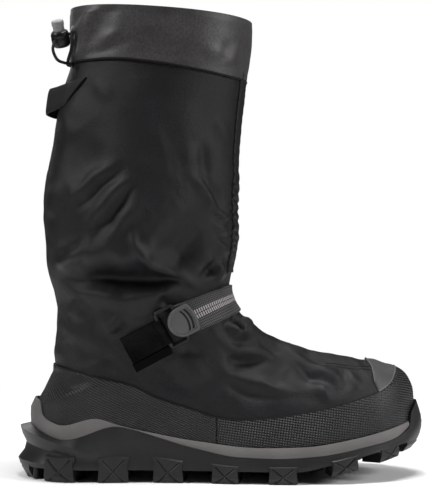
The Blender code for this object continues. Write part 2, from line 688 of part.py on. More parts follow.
def make_instep_strap(group, cutters):
    """The webbing over the instep, from the inner side to under the buckle."""
    lift = GAP + 0.1
    rows = (FIRST_SECTION + 4, FIRST_SECTION + 15)
    shell = add_shell("instep_strap", rows, lift, WEBBING, group, WEB)
    halves = []
    for name, outline, y_from, y_to in (("lateral", STRAP_LATERAL, -BEYOND, 0),
                                        ("medial", STRAP_MEDIAL, 0, BEYOND)):
        mesh = prism_mesh(name, list(outline), y_from, y_to)
        halves.append(add_object("strap_" + name, mesh, cutters))
    add_modifier(halves[0], "BOOLEAN", operation="UNION", object=halves[1])
    add_modifier(shell, "BOOLEAN", operation="INTERSECT", object=halves[0])


def make_anchor(group, cutters):
    """The hook-and-loop tab that holds the ring, and the plain bar below it."""
    rows = (FIRST_SECTION + 2, FIRST_SECTION + 13)
    tab = [strap_corner(a, b) for a, b in (
        (TAB_SPAN[0], -TAB_HALF), (TAB_SPAN[1], -TAB_HALF), (TAB_SPAN[1], TAB_HALF),
        (TAB_SPAN[0] - 1, TAB_HALF))]
    bar = [strap_corner(a, b) for a, b in (
        (BAR_SPAN[0], BAR_EDGES[0]), (BAR_SPAN[1], BAR_EDGES[0]), (BAR_SPAN[1], BAR_EDGES[1]),
        (BAR_SPAN[0], BAR_EDGES[1]))]
    for name, outline, wall, look in (("anchor_tab", tab, WEBBING, BLACK_WEB),
                                      ("anchor_bar", bar, OVERLAY, BLACK_PLASTIC)):
        shell = add_shell(name, rows, GAP + 0.1, wall, group, look)
        cut_shell(shell, outline, -BEYOND, -5, cutters)


def make_ring(group):
    """The rectangular ring between the tab and the buckle, from round wire."""
    half_long, half_wide = RING_SIZE[0] / 2 - RING_WIRE, RING_SIZE[1] / 2 - RING_WIRE
    corner, arc = 2.0, 3
    points = []
    for quarter in range(4):
        a_sign = 1 if quarter in (0, 3) else -1
        b_sign = 1 if quarter in (0, 1) else -1
        for i in range(arc + 1):
            angle = math.pi / 2 * (quarter + i / arc)
            points.append((a_sign * (half_long - corner) + corner * math.cos(angle),
                           b_sign * (half_wide - corner) + corner * math.sin(angle)))
    curve = bpy.data.curves.new("strap_ring", "CURVE")
    curve.dimensions = "3D"
    curve.bevel_depth = RING_WIRE * MM
    curve.bevel_resolution = 2
    spline = curve.splines.new("POLY")
    spline.points.add(len(points) - 1)
    for point, (a, b) in zip(spline.points, points):
        point.co = (a * MM, b * MM, 0, 1)
    spline.use_cyclic_u = True
    ring = add_object("strap_ring", curve, group, BLACK_PLASTIC)
    ring.matrix_world = strap_frame(RING_LIFT)


def flat_mesh(name, outline, low, high):
    """An outline in the piece's own plane, as a plate between two heights."""
    mesh = bmesh.new()
    bottom = [mesh.verts.new(Vector((a, b, low)) * MM) for a, b in outline]
    top = [mesh.verts.new(Vector((a, b, high)) * MM) for a, b in outline]
    mesh.faces.new(bottom[::-1])
    mesh.faces.new(top)
    for i in range(len(bottom)):
        j = (i + 1) % len(bottom)
        mesh.faces.new((bottom[i], bottom[j], top[j], top[i]))
    data = bpy.data.meshes.new(name)
    mesh.to_mesh(data)
    mesh.free()
    return data


def make_buckle(group, cutters):
    """The D-shaped hook buckle: a plate with two curved slots for the strap."""
    length, width, thick = BUCKLE_SIZE
    end = BUCKLE_FROM + length
    radius = width / 2
    outline = [(end, -radius + 2), (end, radius - 2), (end - 2, radius)]
    for i in range(13):
        angle = math.pi / 2 + math.pi * i / 12
        outline.append((BUCKLE_FROM + radius + radius * math.cos(angle),
                        radius * math.sin(angle)))
    outline.append((end - 2, -radius))
    buckle = add_object("strap_buckle", flat_mesh("strap_buckle", outline, 0, thick), group,
                        GREY_PLASTIC)
    frame = strap_frame(BUCKLE_LIFT)
    buckle.matrix_world = frame
    for index, (inset, bow) in enumerate(BUCKLE_SLOTS):
        steps = [i / 6 * 2 - 1 for i in range(7)]
        near = [(end - inset + bow * t * t, SLOT_SIZE[1] / 2 * t) for t in steps]
        far = [(a + SLOT_SIZE[0], b) for a, b in reversed(near)]
        name = "slot_%d" % (index + 1)
        slot = add_object(name, flat_mesh(name, near[::-1] + far[::-1], -2, thick + 2), cutters)
        slot.matrix_world = frame
        add_modifier(buckle, "BOOLEAN", operation="DIFFERENCE", object=slot)


def pull_tab_line(share):
    """The pull tab's inner line, from its end on the shaft round to the back.

    share is 0 at the lower edge and 1 at the upper one, whose end reaches further round.
    """
    low, high = PULL_TAB_LOW, PULL_TAB_HIGH
    edge = low[0] + (high[0] - low[0]) * share
    end_turn = low[1] + (high[1] - low[1]) * share
    on_shaft = [leg_at(turn, edge, GAP + 0.35)[0] for turn in np.linspace(end_turn, 0.42, 4)]
    back = leg_at(0.0, edge, 0.0)[0]
    proud = TAB_PROUD[0] + (TAB_PROUD[1] - TAB_PROUD[0]) * share
    free = [back + np.array(p) * (proud / TAB_PROUD[0], 1, 1) for p in PULL_TAB_BULGE]
    free.append(back + np.array((TAB_WALL - proud, 0, 0)))
    line = resample(smooth_path(on_shaft + free, 5.0), PULL_TAB_POINTS)
    line[:, 2] -= PULL_TAB_DROP * np.linspace(0, 1, PULL_TAB_POINTS)
    return line


def make_pull_tab(group):
    """The webbing loop round the back seam, cut slanting at its end on each side."""
    half = np.stack([pull_tab_line(share) for share in np.linspace(0, 1, 4)])
    mirror = half[:, -2::-1] * np.array((1, -1, 1))
    inner = np.concatenate([half, mirror], axis=1)
    run = np.gradient(inner, axis=1)
    out = np.stack([run[..., 1], -run[..., 0], 0 * run[..., 0]], axis=-1)
    out /= -np.linalg.norm(out, axis=-1, keepdims=True)
    section = np.concatenate([inner, (inner + TAB_WALL * out)[::-1]])
    mesh = bmesh.new()
    rings = [[mesh.verts.new(Vector(p) * MM) for p in ring]
             for ring in section.transpose(1, 0, 2)]
    for before, after in zip(rings, rings[1:]):
        for i in range(len(before)):
            j = (i + 1) % len(before)
            mesh.faces.new((before[i], before[j], after[j], after[i]))
    mesh.faces.new(rings[0])
    mesh.faces.new(rings[-1])
    bmesh.ops.recalc_face_normals(mesh, faces=mesh.faces)
    data = bpy.data.meshes.new("pull_tab")
    mesh.to_mesh(data)
    mesh.free()
    add_object("pull_tab", data, group, WEB)


def resample(line, count):
    """A line as a given number of points, evenly along it."""
    line = np.array(line)
    along = np.concatenate([[0], np.cumsum(np.linalg.norm(np.diff(line, axis=0), axis=1))])
    steps = np.linspace(0, along[-1], count)
    return np.stack([np.interp(steps, along, line[:, i]) for i in range(3)], axis=-1)


def lock_frame():
    """Axes of the cord lock: along its cord hole, across it, and along its button."""
    up = Vector(LOCK_AXIS).normalized()
    hole = Vector(LOCK_HOLE_AXIS)
    hole = (hole - hole.dot(up) * up).normalized()
    frame = Matrix((hole, up.cross(hole), up)).transposed().to_4x4()
    frame.translation = Vector(LOCK_CENTRE) * MM
    return frame


def turned_mesh(name, profile):
    """A profile in radius and height whose ends lie on the axis, for a Screw modifier."""
    data = bpy.data.meshes.new(name)
    points = [(r * MM, 0, z * MM) for r, z in profile]
    data.from_pydata(points, [(i, i + 1) for i in range(len(points) - 1)], [])
    return data


def add_turned(name, profile, group, look):
    """A turned piece."""
    made = add_object(name, turned_mesh(name, profile), group, look)
    add_modifier(made, "SCREW", steps=18, render_steps=18, use_merge_vertices=True,
                 merge_threshold=0.00001)
    return made


def make_lock(group, cutters):
    """The cord lock: a barrel with a bore and a cord hole, and the button that slides in it."""
    frame = lock_frame()
    barrel = add_turned("lock_barrel", (
        (0, -5.05), (4.9, -5.05), (4.9, 6.0), (5.6, 6.5), (6.6, 5.6), (7.4, 3.2), (7.4, -2.6),
        (6.4, -5.4), (4.6, -6.5), (0, -6.5)), group, BLACK_PLASTIC)
    barrel.matrix_world = frame
    button = add_turned("lock_button", (
        (0, 15.1), (4.3, 15.1), (4.9, 14.5), (4.9, 11.2), (4.5, 10.6), (4.5, -1.9),
        (4.1, -2.25), (0, -2.25)), group, GREY_PLASTIC)
    button.matrix_world = frame
    mesh = bmesh.new()
    turn = Matrix.Rotation(math.pi / 2, 4, "Y")
    place = Matrix.Translation(Vector((0, 0, LOCK_HOLE_HEIGHT * MM)))
    bmesh.ops.create_cone(mesh, cap_ends=True, segments=16, radius1=LOCK_HOLE_R * MM,
                          radius2=LOCK_HOLE_R * MM, depth=30 * MM, matrix=place @ turn)
    data = bpy.data.meshes.new("cord_hole")
    mesh.to_mesh(data)
    mesh.free()
    hole = add_object("cord_hole", data, cutters)
    hole.matrix_world = frame
    add_modifier(barrel, "BOOLEAN", operation="DIFFERENCE", object=hole)
    low = LOCK_HOLE_HEIGHT - LOCK_HOLE_R
    high = LOCK_HOLE_HEIGHT + LOCK_HOLE_R + LOCK_TRAVEL
    half = LOCK_HOLE_R
    outline = [(-12, -half), (12, -half), (12, half), (-12, half)]
    slot = add_object("button_slot", flat_mesh("button_slot", outline, low, high), cutters)
    slot.matrix_world = frame
    add_modifier(button, "BOOLEAN", operation="DIFFERENCE", object=slot)


def make_eyelet(group):
    """The metal eyelet in the cuff where the drawcord comes out."""
    inner, outer = EYELET_R
    mesh = bpy.data.meshes.new("cord_eyelet")
    low, high = EYELET_WALL
    profile = [(inner, high - 0.4), (inner + 0.5, high), (outer - 0.5, high),
               (outer, high - 0.5), (outer, low), (inner, low)]
    count = len(profile)
    mesh.from_pydata([(r * MM, 0, z * MM) for r, z in profile],
                     [(i, (i + 1) % count) for i in range(count)], [])
    eyelet = add_object("cord_eyelet", mesh, group, PALE_METAL)
    add_modifier(eyelet, "SCREW", steps=18, render_steps=18, use_merge_vertices=True,
                 merge_threshold=0.00001)
    point, normal = leg_at(EYELET_TURN, EYELET_HEIGHT, 2 * GAP + CUFF_WALL)
    off = Vector(normal)
    side = Vector((0, 0, 1)).cross(off).normalized()
    frame = Matrix((side, off.cross(side), off)).transposed().to_4x4()
    frame.translation = Vector(point) * MM
    eyelet.matrix_world = frame


def add_cord(name, points, group):
    """A length of elastic cord along a smooth curve."""
    curve = bpy.data.curves.new(name, "CURVE")
    curve.dimensions = "3D"
    curve.bevel_depth = CORD_R * MM
    curve.bevel_resolution = 2
    curve.use_fill_caps = True
    path = smooth_path(points, CORD_STEP)
    spline = curve.splines.new("POLY")
    spline.points.add(len(path) - 1)
    for point, place in zip(spline.points, path):
        point.co = (*(Vector(place) * MM), 1)
    add_object(name, curve, group, BLACK_WEB)


def make_cords(group):
    """The drawcord's two ends: one through the lock, one beside it, both down to the hem."""
    frame = lock_frame()
    on_cuff = GAP + CUFF_WALL + CORD_LIFT

    def in_lock(distance):
        """A place on the cord hole's own line."""
        return frame @ (Vector((distance, 0, LOCK_HOLE_HEIGHT)) * MM) / MM

    def at_hem(turn):
        """The end at the hem's seam, and a place just off it."""
        end, normal = leg_at(turn, HEM_HEIGHT, CORD_LIFT)
        return [end + 3.0 * normal, end]

    start, _ = leg_at(0.335, EYELET_HEIGHT, on_cuff)
    add_cord("drawcord_long", [
        start, in_lock(8.5), in_lock(3), in_lock(-3), in_lock(-8.5), (-131.6, -39.8, 343.4),
        (-132.0, -40.6, 339.5), (-130.8, -38.2, 335.0), (-128.0, -32.5, 331.4),
        *at_hem(0.36)], group)
    start, normal = leg_at(0.395, EYELET_HEIGHT, on_cuff)
    add_cord("drawcord_short", [
        start, start + 1.6 * normal, (-118.4, -30.4, 351.6), (-117.4, -33.2, 346.5),
        (-118.6, -32.0, 340.0), (-121.2, -27.0, 333.6), *at_hem(0.28)], group)


def main():
    """Build every piece."""
    clear_scene()
    group = new_collection("winter_overshoe")
    cutters = new_collection("cutters")
    make_upper(group)
    make_cuff(group)
    make_rand(group, cutters)
    make_front_flap(group, cutters)
    make_outsole(group, cutters)
    make_midsole(group)
    make_insole(group)
    make_instep_strap(group, cutters)
    make_anchor(group, cutters)
    make_ring(group)
    make_buckle(group, cutters)
    make_pull_tab(group)
    make_lock(group, cutters)
    make_eyelet(group)
    make_cords(group)


main()
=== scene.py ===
# %% [markdown]
# A tall winter overshoe, dressed for its portrait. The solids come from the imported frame. They
# are faceted and plain, so each soft or moulded piece is modelled again here, finer, on the same
# formulas as the solids: rings that run round the boot from the heel, along the outer side, over
# the front and home along the inner side. All tables are in millimetres.

# %% Load the frame and keep its box
import math

import bmesh
import bpy
import numpy as np
from mathutils import Matrix, Vector


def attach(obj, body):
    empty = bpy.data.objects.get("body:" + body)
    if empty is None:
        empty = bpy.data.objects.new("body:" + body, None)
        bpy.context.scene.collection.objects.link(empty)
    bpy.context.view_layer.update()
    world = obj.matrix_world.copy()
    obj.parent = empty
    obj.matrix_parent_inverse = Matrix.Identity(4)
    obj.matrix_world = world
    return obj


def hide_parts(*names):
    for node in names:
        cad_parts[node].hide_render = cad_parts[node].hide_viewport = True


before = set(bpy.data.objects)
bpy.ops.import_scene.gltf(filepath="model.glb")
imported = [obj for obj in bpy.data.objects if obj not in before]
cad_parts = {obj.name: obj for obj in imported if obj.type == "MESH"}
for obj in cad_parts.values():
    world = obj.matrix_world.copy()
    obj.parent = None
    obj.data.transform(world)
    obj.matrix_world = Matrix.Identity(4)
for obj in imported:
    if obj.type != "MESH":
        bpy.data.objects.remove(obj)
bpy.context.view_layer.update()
MM = 0.001
BODY = "boot"

# %% [markdown]
# The camera comes first, because every later choice is judged through it. The photograph looks
# at the outer side, square on, from about 1.2 m. The lens is worked out from the height of the
# view at the boot's middle plane.

# %% Camera, floor and soft studio light
CAMERA_AT = (-2.4, -1200.0, 183.5)
VIEW_HEIGHT = 403.4
SENSOR = 36.0

scene = bpy.context.scene
scene.view_settings.view_transform = "Standard"
camera_data = bpy.data.cameras.new("camera")
camera_data.sensor_width = SENSOR
camera_data.lens = SENSOR * abs(CAMERA_AT[1]) / VIEW_HEIGHT
camera = bpy.data.objects.new("camera", camera_data)
camera.location = Vector(CAMERA_AT) * MM
camera.rotation_euler = (math.radians(90), 0, 0)
scene.collection.objects.link(camera)
scene.camera = camera


def area_light(name, place, aim, size, power):
    """A square soft light at a place, turned to look at a point."""
    data = bpy.data.lights.new(name, "AREA")
    data.size = size
    data.energy = power
    light = bpy.data.objects.new(name, data)
    light.location = place
    light.rotation_euler = (Vector(aim) - Vector(place)).to_track_quat("-Z", "Y").to_euler()
    scene.collection.objects.link(light)


area_light("left", (-1.15, -0.50, 1.15), (0, 0, 0.25), 0.4, 15.5)
area_light("right", (1.28, -0.48, 0.72), (0, 0, 0.12), 0.55, 13.5)
area_light("top", (0.12, -0.10, 1.6), (0, 0, 0.1), 0.6, 21)
area_light("back", (-0.4, 1.2, 0.9), (0, 0, 0.2), 0.8, 6)
SKY_SEEN, SKY_LIGHT = 1.0, 0.05
world = bpy.data.worlds.new("studio")
world.use_nodes = True
sky = world.node_tree
sky.nodes["Background"].inputs["Color"].default_value = (1, 1, 1, 1)
seen = sky.nodes.new("ShaderNodeLightPath").outputs["Is Camera Ray"]
strength = sky.nodes.new("ShaderNodeMapRange")
strength.inputs["To Min"].default_value = SKY_LIGHT
strength.inputs["To Max"].default_value = SKY_SEEN
sky.links.new(seen, strength.inputs["Value"])
sky.links.new(strength.outputs["Result"], sky.nodes["Background"].inputs["Strength"])
scene.world = world

floor_mesh = bpy.data.meshes.new("floor")
FLOOR_RADIUS = 0.72
floor_angle = np.linspace(0, 2 * np.pi, 97)[:-1]
floor_ring = np.stack([FLOOR_RADIUS * np.cos(floor_angle), FLOOR_RADIUS * np.sin(floor_angle),
                       np.full(96, -0.0005)], axis=-1)
floor_mesh.from_pydata(floor_ring.tolist(), [], [tuple(range(96))])
floor = bpy.data.objects.new("floor", floor_mesh)
floor_paint = bpy.data.materials.new("floor")
floor_paint.use_nodes = True
floor_paint.node_tree.nodes["Principled BSDF"].inputs["Base Color"].default_value = (
    0.93, 0.93, 0.93, 1)
floor_paint.node_tree.nodes["Principled BSDF"].inputs["Roughness"].default_value = 0.9
floor_mesh.materials.append(floor_paint)
scene.collection.objects.link(floor)
print("camera %.0f mm lens at %.2f m" % (camera_data.lens, -camera.location.y))

# %% [markdown]
# The boot's own outline and sections, the driving sizes of the whole piece. A monotone cubic
# carries each column smoothly from row to row and never overshoots, so a flat stays flat.

# %% Driving tables and the curve through them
X_HEEL, X_TOE = -149.0, 156.8
FORM_FOOT = 46.0
OUTLINE = {
    "x":       (-149.0, -145, -135, -120, -100, -60, -20, 20, 60, 90, 120, 140, 152, 156.8),
    "lateral": (0.0, 16, 31, 41, 45, 44, 47, 52, 55, 53.5, 46.5, 33.5, 17, 0),
    "medial":  (0.0, 16, 31, 41, 44, 40, 41, 47, 54, 55, 46.5, 33.5, 17, 0),
    "centre":  (0.0, 0, 0, 0, 0, 0, 0, 0, 0, 0.8, 2.5, 3.5, 4, 4),
}
HEIGHTS = {
    "feather": ((-149, 62), (-143.5, 59.5), (-140.5, 49.5), (-134, 45.2), (-124.7, 42.9),
                (-98.4, 48.8), (-80.4, 44), (-59.2, 38.9), (-16, 31.4), (30.7, 27),
                (65.6, 27.9), (101, 33), (150, 44), (156.8, 46)),
    "footbed": ((-149, 24), (-60, 21.5), (0, 17), (50, 16.5), (90, 21.5), (125, 31),
                (140, 35), (156.8, 38)),
    "grey_edge": ((-149, 41.5), (-122, 32.1), (-84, 42.6), (-72.5, 41.3), (-59, 37.4),
                  (-16, 25.5), (13.2, 20.2), (42.3, 19.2), (77.3, 21.2), (112.8, 27.6),
                  (136, 32.8), (149, 40.5), (156.8, 44)),
    "bumper": ((-149, 0), (147.4, 0), (148.6, 1), (149.6, 9.5), (152, 12.5), (154.9, 14.6),
               (156.8, 15.6)),
    "lug_foot": ((-149, 0), (58, 0), (86, 5.5), (125, 15.6), (140, 19.4), (156.8, 21.5)),
    "lug_height": ((-149, 9.4), (60, 9.4), (100, 8.8), (156.8, 7.5)),
}
SECTIONS = np.array((
    # x_back, z_back, x_front, z_front, leg, half
    (-149.0, 50.0, 156.8, 52.0, 0.00, 50),
    (-148.3, 57.0, 155.0, 70.4, 0.00, 50),
    (-145.0, 63.0, 146.9, 82.8, 0.00, 50),
    (-142.0, 68.0, 130.8, 89.3, 0.00, 50),
    (-139.6, 73.0, 111.0, 92.8, 0.00, 50),
    (-137.0, 78.5, 88.0, 97.2, 0.06, 50),
    (-134.6, 84.0, 67.0, 102.4, 0.15, 50),
    (-134.5, 89.5, 51.0, 107.5, 0.28, 50),
    (-134.8, 97.0, 38.0, 113.3, 0.44, 51),
    (-134.0, 106.5, 27.0, 120.7, 0.60, 51),
    (-133.2, 118.0, 16.8, 130.2, 0.78, 52),
    (-132.7, 132.0, 9.9, 141.3, 0.92, 53),
    (-134.5, 147.0, 7.6, 151.0, 1.00, 55),
    (-139.0, 166.0, 9.6, 165.0, 1.00, 59),
    (-142.0, 195.0, 13.1, 190.0, 1.00, 63),
    (-142.8, 225.0, 12.8, 220.0, 1.00, 65),
    (-138.0, 253.0, 14.0, 252.0, 1.00, 63),
    (-132.8, 287.0, 16.2, 285.0, 1.00, 61),
    (-127.3, 312.0, 18.6, 309.0, 1.00, 60),
    (-121.4, 331.9, 20.4, 322.9, 1.00, 60),
    (-120.0, 354.0, 22.8, 345.0, 1.00, 60),
    (-120.2, 375.4, 24.2, 365.2, 1.00, 60),
), float)
THROAT, HEM, RIM = 12, 19.0, 21.0
LEG_FULLNESS = 2.2
INSTEP_ROUND = ((-149, 1.7), (40, 1.7), (120, 2.4), (156.8, 2.6))


def curve_through(xs, ys, x):
    """A monotone cubic through a table: the slope at a point is the harmonic mean of its
    neighbours' slopes, or level where they change sign."""
    xs, ys = np.asarray(xs, float), np.asarray(ys, float)
    x = np.clip(np.asarray(x, float), xs[0], xs[-1])
    step = np.diff(xs)
    rise = np.diff(ys) / step
    product = rise[:-1] * rise[1:]
    total = np.where(product > 0, rise[:-1] + rise[1:], 1)
    slope = np.concatenate([rise[:1], np.where(product > 0, 2 * product / total, 0), rise[-1:]])
    i = np.clip(np.searchsorted(xs, x) - 1, 0, len(xs) - 2)
    t = (x - xs[i]) / step[i]
    return (ys[i] * (1 + 2 * t) * (1 - t) ** 2 + step[i] * slope[i] * t * (1 - t) ** 2
            + ys[i + 1] * t * t * (3 - 2 * t) + step[i] * slope[i + 1] * t * t * (t - 1))


def height(name, x):
    """One of the heights that depend on x alone."""
    xs, zs = zip(*HEIGHTS[name])
    return curve_through(xs, zs, x)


def smooth(low, high, value):
    """0 below low, 1 above high, and an S-shaped step between: 3t² - 2t³."""
    t = np.clip((value - low) / (high - low), 0, 1)
    return t * t * (3 - 2 * t)


print("tables:", len(SECTIONS), "sections and", len(HEIGHTS), "height curves")

# %% [markdown]
# The form of the upper is one function of two parameters: the turn round the boot, and the
# level, a section's number or anything between two sections. In the foot the outline is drawn
# in towards the instep's ridge like a dome. In the leg it is an oval. A share blends the two.

# %% The upper's form
def outline_turn(x):
    """The angle of the outline at x, 0 at the heel and pi at the toe."""
    share = np.clip((np.asarray(x, float) - X_HEEL) / (X_TOE - X_HEEL), 0, 1)
    return np.arccos(1 - 2 * share)


def outline_column(name, x):
    """A column of OUTLINE, smooth in the turn so that heel and toe come out round."""
    return curve_through(outline_turn(OUTLINE["x"]), OUTLINE[name], outline_turn(x))


def half_width(x, turn):
    """The signed half width of the outline on the side that the turn is on."""
    outer = np.sin(turn) >= 0
    return np.where(outer, -outline_column("lateral", x), outline_column("medial", x))


def section(level):
    """The six columns of SECTIONS, carried smoothly to any level."""
    rows = np.arange(len(SECTIONS))
    return [curve_through(rows, SECTIONS[:, i], level) for i in range(SECTIONS.shape[1])]


RIDGE = [(row[2], row[3]) for row in SECTIONS[:THROAT + 1][::-1]]


def form(turn, level):
    """x and z run in a straight line from a section's back to its front, as (1 - cos turn) / 2.
    y is the outline times sqrt(1 - rise ^ roundness) in the foot and a superellipse in the leg.
    Below level 0 the wall drops to the feather line, where it enters the sole."""
    x_back, z_back, x_front, z_front, leg, half = section(np.maximum(level, 0))
    share = (1 - np.cos(turn)) / 2
    x = x_back + (x_front - x_back) * share
    z = z_back + (z_front - z_back) * share
    low = np.minimum(height("feather", x), FORM_FOOT)
    z = z + (low - z) * np.clip(-level, 0, 1)
    x_outline = x - (x_back - X_HEEL) * (1 - share) ** 2
    xs, zs = zip(*([(-60.0, 620.0)] + RIDGE))
    rise = np.clip((z - low) / (curve_through(xs, zs, x) - low), 0, 1)
    xs, powers = zip(*INSTEP_ROUND)
    foot = half_width(x_outline, turn) * np.sqrt(1 - rise ** curve_through(xs, powers, x))
    oval = (1 - np.abs(np.cos(turn)) ** LEG_FULLNESS) ** (1 / LEG_FULLNESS)
    side = np.where(np.sin(turn) >= 0, -1, 1)
    y = (1 - leg) * (foot + outline_column("centre", x)) + leg * side * half * oval
    return np.stack([x, y, z], axis=-1)


def outward(turn, level):
    """The direction off the form: the cross product of small steps round it and up it."""
    turn_step, level_step = 0.012, 0.05
    around = form(turn + turn_step, level) - form(turn - turn_step, level)
    low = np.clip(level - level_step, -1, RIM)
    high = np.clip(level + level_step, -1, RIM)
    upwards = form(turn, high) - form(turn, low)
    normal = np.cross(around, upwards)
    return normal / np.maximum(np.linalg.norm(normal, axis=-1, keepdims=True), 1e-9)


# %% [markdown]
# Two searches turn drawings on the boot's side into places on the form. Both halve an interval
# again and again, for whole arrays at once: one finds the level where a column of the form meets
# a line drawn on the side view, the other the place that lies behind a point of the side view.

# %% Places on the form from lines on the side view
HALVINGS = 26


def level_on(turn, line, upright=False):
    """The level at each turn where the form's height meets line(x), or where upright is set,
    where its x meets line(z). turn may be a function of the level."""
    turn_at = turn if callable(turn) else lambda level: turn
    shape = turn_at(RIM)
    low, high = np.full_like(shape, -1.0), np.full_like(shape, RIM)
    for _ in range(HALVINGS):
        middle = (low + high) / 2
        point = form(turn_at(middle), middle)
        above = point[..., 2] > line(point[..., 0])
        if upright:
            above = point[..., 0] < line(point[..., 2])
        low, high = np.where(above, low, middle), np.where(above, middle, high)
    return (low + high) / 2


def on_side(x, z, side):
    """The turn and level of the form behind a point of the side view. side is -1 or 1."""
    x, z = np.broadcast_arrays(np.asarray(x, float), np.asarray(z, float))
    low, high = np.full_like(x, -1.0), np.full_like(x, RIM)
    for _ in range(HALVINGS):
        middle = (low + high) / 2
        x_back, z_back, x_front, z_front, _, _ = section(np.maximum(middle, 0))
        share = np.clip((x - x_back) / (x_front - x_back), 0, 1)
        height_here = z_back + (z_front - z_back) * share
        floor_here = np.minimum(height("feather", x), FORM_FOOT)
        height_here = height_here + (floor_here - height_here) * np.clip(-middle, 0, 1)
        above = height_here > z
        low, high = np.where(above, low, middle), np.where(above, middle, high)
    level = (low + high) / 2
    x_back, _, x_front, _, _, _ = section(np.maximum(level, 0))
    turn = np.arccos(1 - 2 * np.clip((x - x_back) / (x_front - x_back), 0, 1))
    return (turn if side < 0 else 2 * np.pi - turn), level


# %% [markdown]
# Nylon over a foot that isn't there hangs in folds. Their places are chosen from the
# photograph, as short lines on the side view. A fold is a soft trough or ridge along its line:
# depth times exp(-(distance / width)²), with its own width on each side, fading out at the ends.

# %% Folds of the outer side and of the inner side
OUTER_FOLDS = (
    # points (x, z) of the line, width left of it, width right of it, height
    (((-128, 160), (-105, 157), (-77, 155.5), (-48, 156), (-22, 158)), 15, 6.0, -8.4),
    (((-127, 152), (-106, 146.5), (-77, 145), (-50, 147.5), (-32, 153)), 5, 10, 2.6),
    (((-125, 180), (-95, 178), (-70, 176), (-40, 172)), 14, 14, 4.4),
    (((-67, 202), (-66, 188), (-55, 171), (-32, 161), (-12, 149)), 5.0, 4.5, 4.6),
    (((-50, 196), (-33, 184), (-12, 168)), 24, 18, -6.6),
    (((-12, 170), (-4, 160)), 9, 7, -3.0),
    (((-79, 252), (-99, 237), (-121, 218)), 5.5, 5.5, 2.0),
    (((-72, 247), (-92, 230), (-112, 211)), 4.5, 4.5, -2.4),
    (((-66, 241), (-87, 220), (-108, 196)), 5.0, 5.0, 2.4),
    (((-62, 234), (-82, 212), (-101, 187)), 4.5, 5.5, -2.6),
    (((-58, 226), (-76, 204), (-92, 180)), 6.0, 6.0, 1.6),
    (((-132, 168), (-119, 173), (-105, 183)), 5.5, 6.0, 3.0),
    (((-133, 178), (-118, 184), (-108, 194)), 6.0, 6.0, -1.8),
    (((-126, 258), (-118, 284), (-106, 308)), 9, 10, 2.2),
    (((-124, 240), (-104, 250), (-84, 262)), 12, 12, -2.4),
    (((-98, 318), (-84, 294)), 4, 5, 1.0),
    (((-124, 236), (-133, 222), (-134, 205)), 7, 7, 1.8),
    (((-24, 242), (-9, 225), (1, 205)), 4.0, 4.5, 2.6),
    (((-17, 240), (-3, 224), (5, 208)), 4.0, 4.0, -2.6),
    (((-5, 288), (9, 266)), 5, 5, 1.8),
    (((-15, 269), (-12, 250), (-9, 233)), 4.5, 4.5, -1.7),
    (((-24, 268), (-22, 246)), 6, 6, 1.2),
    (((-7, 218), (1, 202)), 2.2, 2.4, -2.0),
    (((-3, 214), (6, 203)), 2.4, 2.4, 1.8),
    (((-6, 205), (5, 193)), 2.6, 2.6, 1.7),
    (((-4, 197), (7, 186)), 2.2, 2.4, -1.6),
    (((-2, 190), (7, 178)), 3.0, 3.0, 1.4),
    (((-8, 184), (4, 172)), 3.0, 3.0, -1.4),
    (((2, 174), (1, 164), (0, 154)), 3.5, 3.0, 2.6),
    (((-5, 168), (-5, 158)), 3.0, 3.5, -2.2),
    (((-82, 135), (-86, 127), (-92, 119)), 4.5, 6, 2.0),
    (((-76, 137), (-80, 126), (-86, 115)), 5, 5, -1.8),
    (((-120, 143), (-113, 134), (-106, 124)), 6, 7, 1.6),
    (((-128, 126), (-112, 113), (-92, 105)), 8, 8, 1.3),
    (((-122, 112), (-104, 100), (-84, 95)), 8, 8, -1.4),
    (((-50, 148), (-42, 140), (-40, 132)), 4, 5, -2.0),
    (((10, 126), (15, 121), (19, 116.5)), 2.8, 2.6, -4.6),
    (((11, 132), (12, 127), (15, 121), (20, 118)), 2.0, 2.4, -4.0),
    (((6, 127), (10, 118), (17, 113), (26, 112)), 2.4, 2.8, 2.6),
    (((3, 129), (6, 121), (11, 115), (22, 113)), 2.8, 3.4, 3.0),
    (((15, 128), (22, 122), (26, 116)), 3.0, 3.0, 2.0),
    (((-2, 114), (14, 102), (32, 98), (48, 98)), 4.0, 5.0, 2.6),
    (((2, 100), (18, 93.5), (40, 92)), 5, 6, -2.8),
    (((-4, 92), (16, 80), (42, 72.5), (62, 70)), 5.5, 6.0, 2.4),
    (((0, 81), (20, 71), (44, 64)), 6, 6, -1.6),
    (((28, 111), (40, 104), (52, 101)), 4, 4, -1.6),
    (((50, 106), (66, 92), (92, 80), (107, 68)), 4.5, 5.0, 2.4),
    (((56, 94), (70, 83), (88, 73)), 5, 5, -2.2),
    (((62, 100), (76, 93), (92, 88)), 4.0, 4.0, -1.2),
    (((70, 80), (82, 68), (86, 60)), 5, 5, 1.6),
    (((99, 86), (106, 78), (111, 69)), 3.5, 3.5, 1.3),
    (((90, 86), (98, 76), (101, 67)), 3.5, 3.5, -1.3),
    (((-40, 100), (-24, 88), (-4, 80)), 8, 8, 1.6),
    (((-52, 92), (-36, 78), (-14, 68)), 8, 8, -1.4),
    (((-34, 110), (-22, 100), (-12, 92)), 5, 5, -1.4),
)
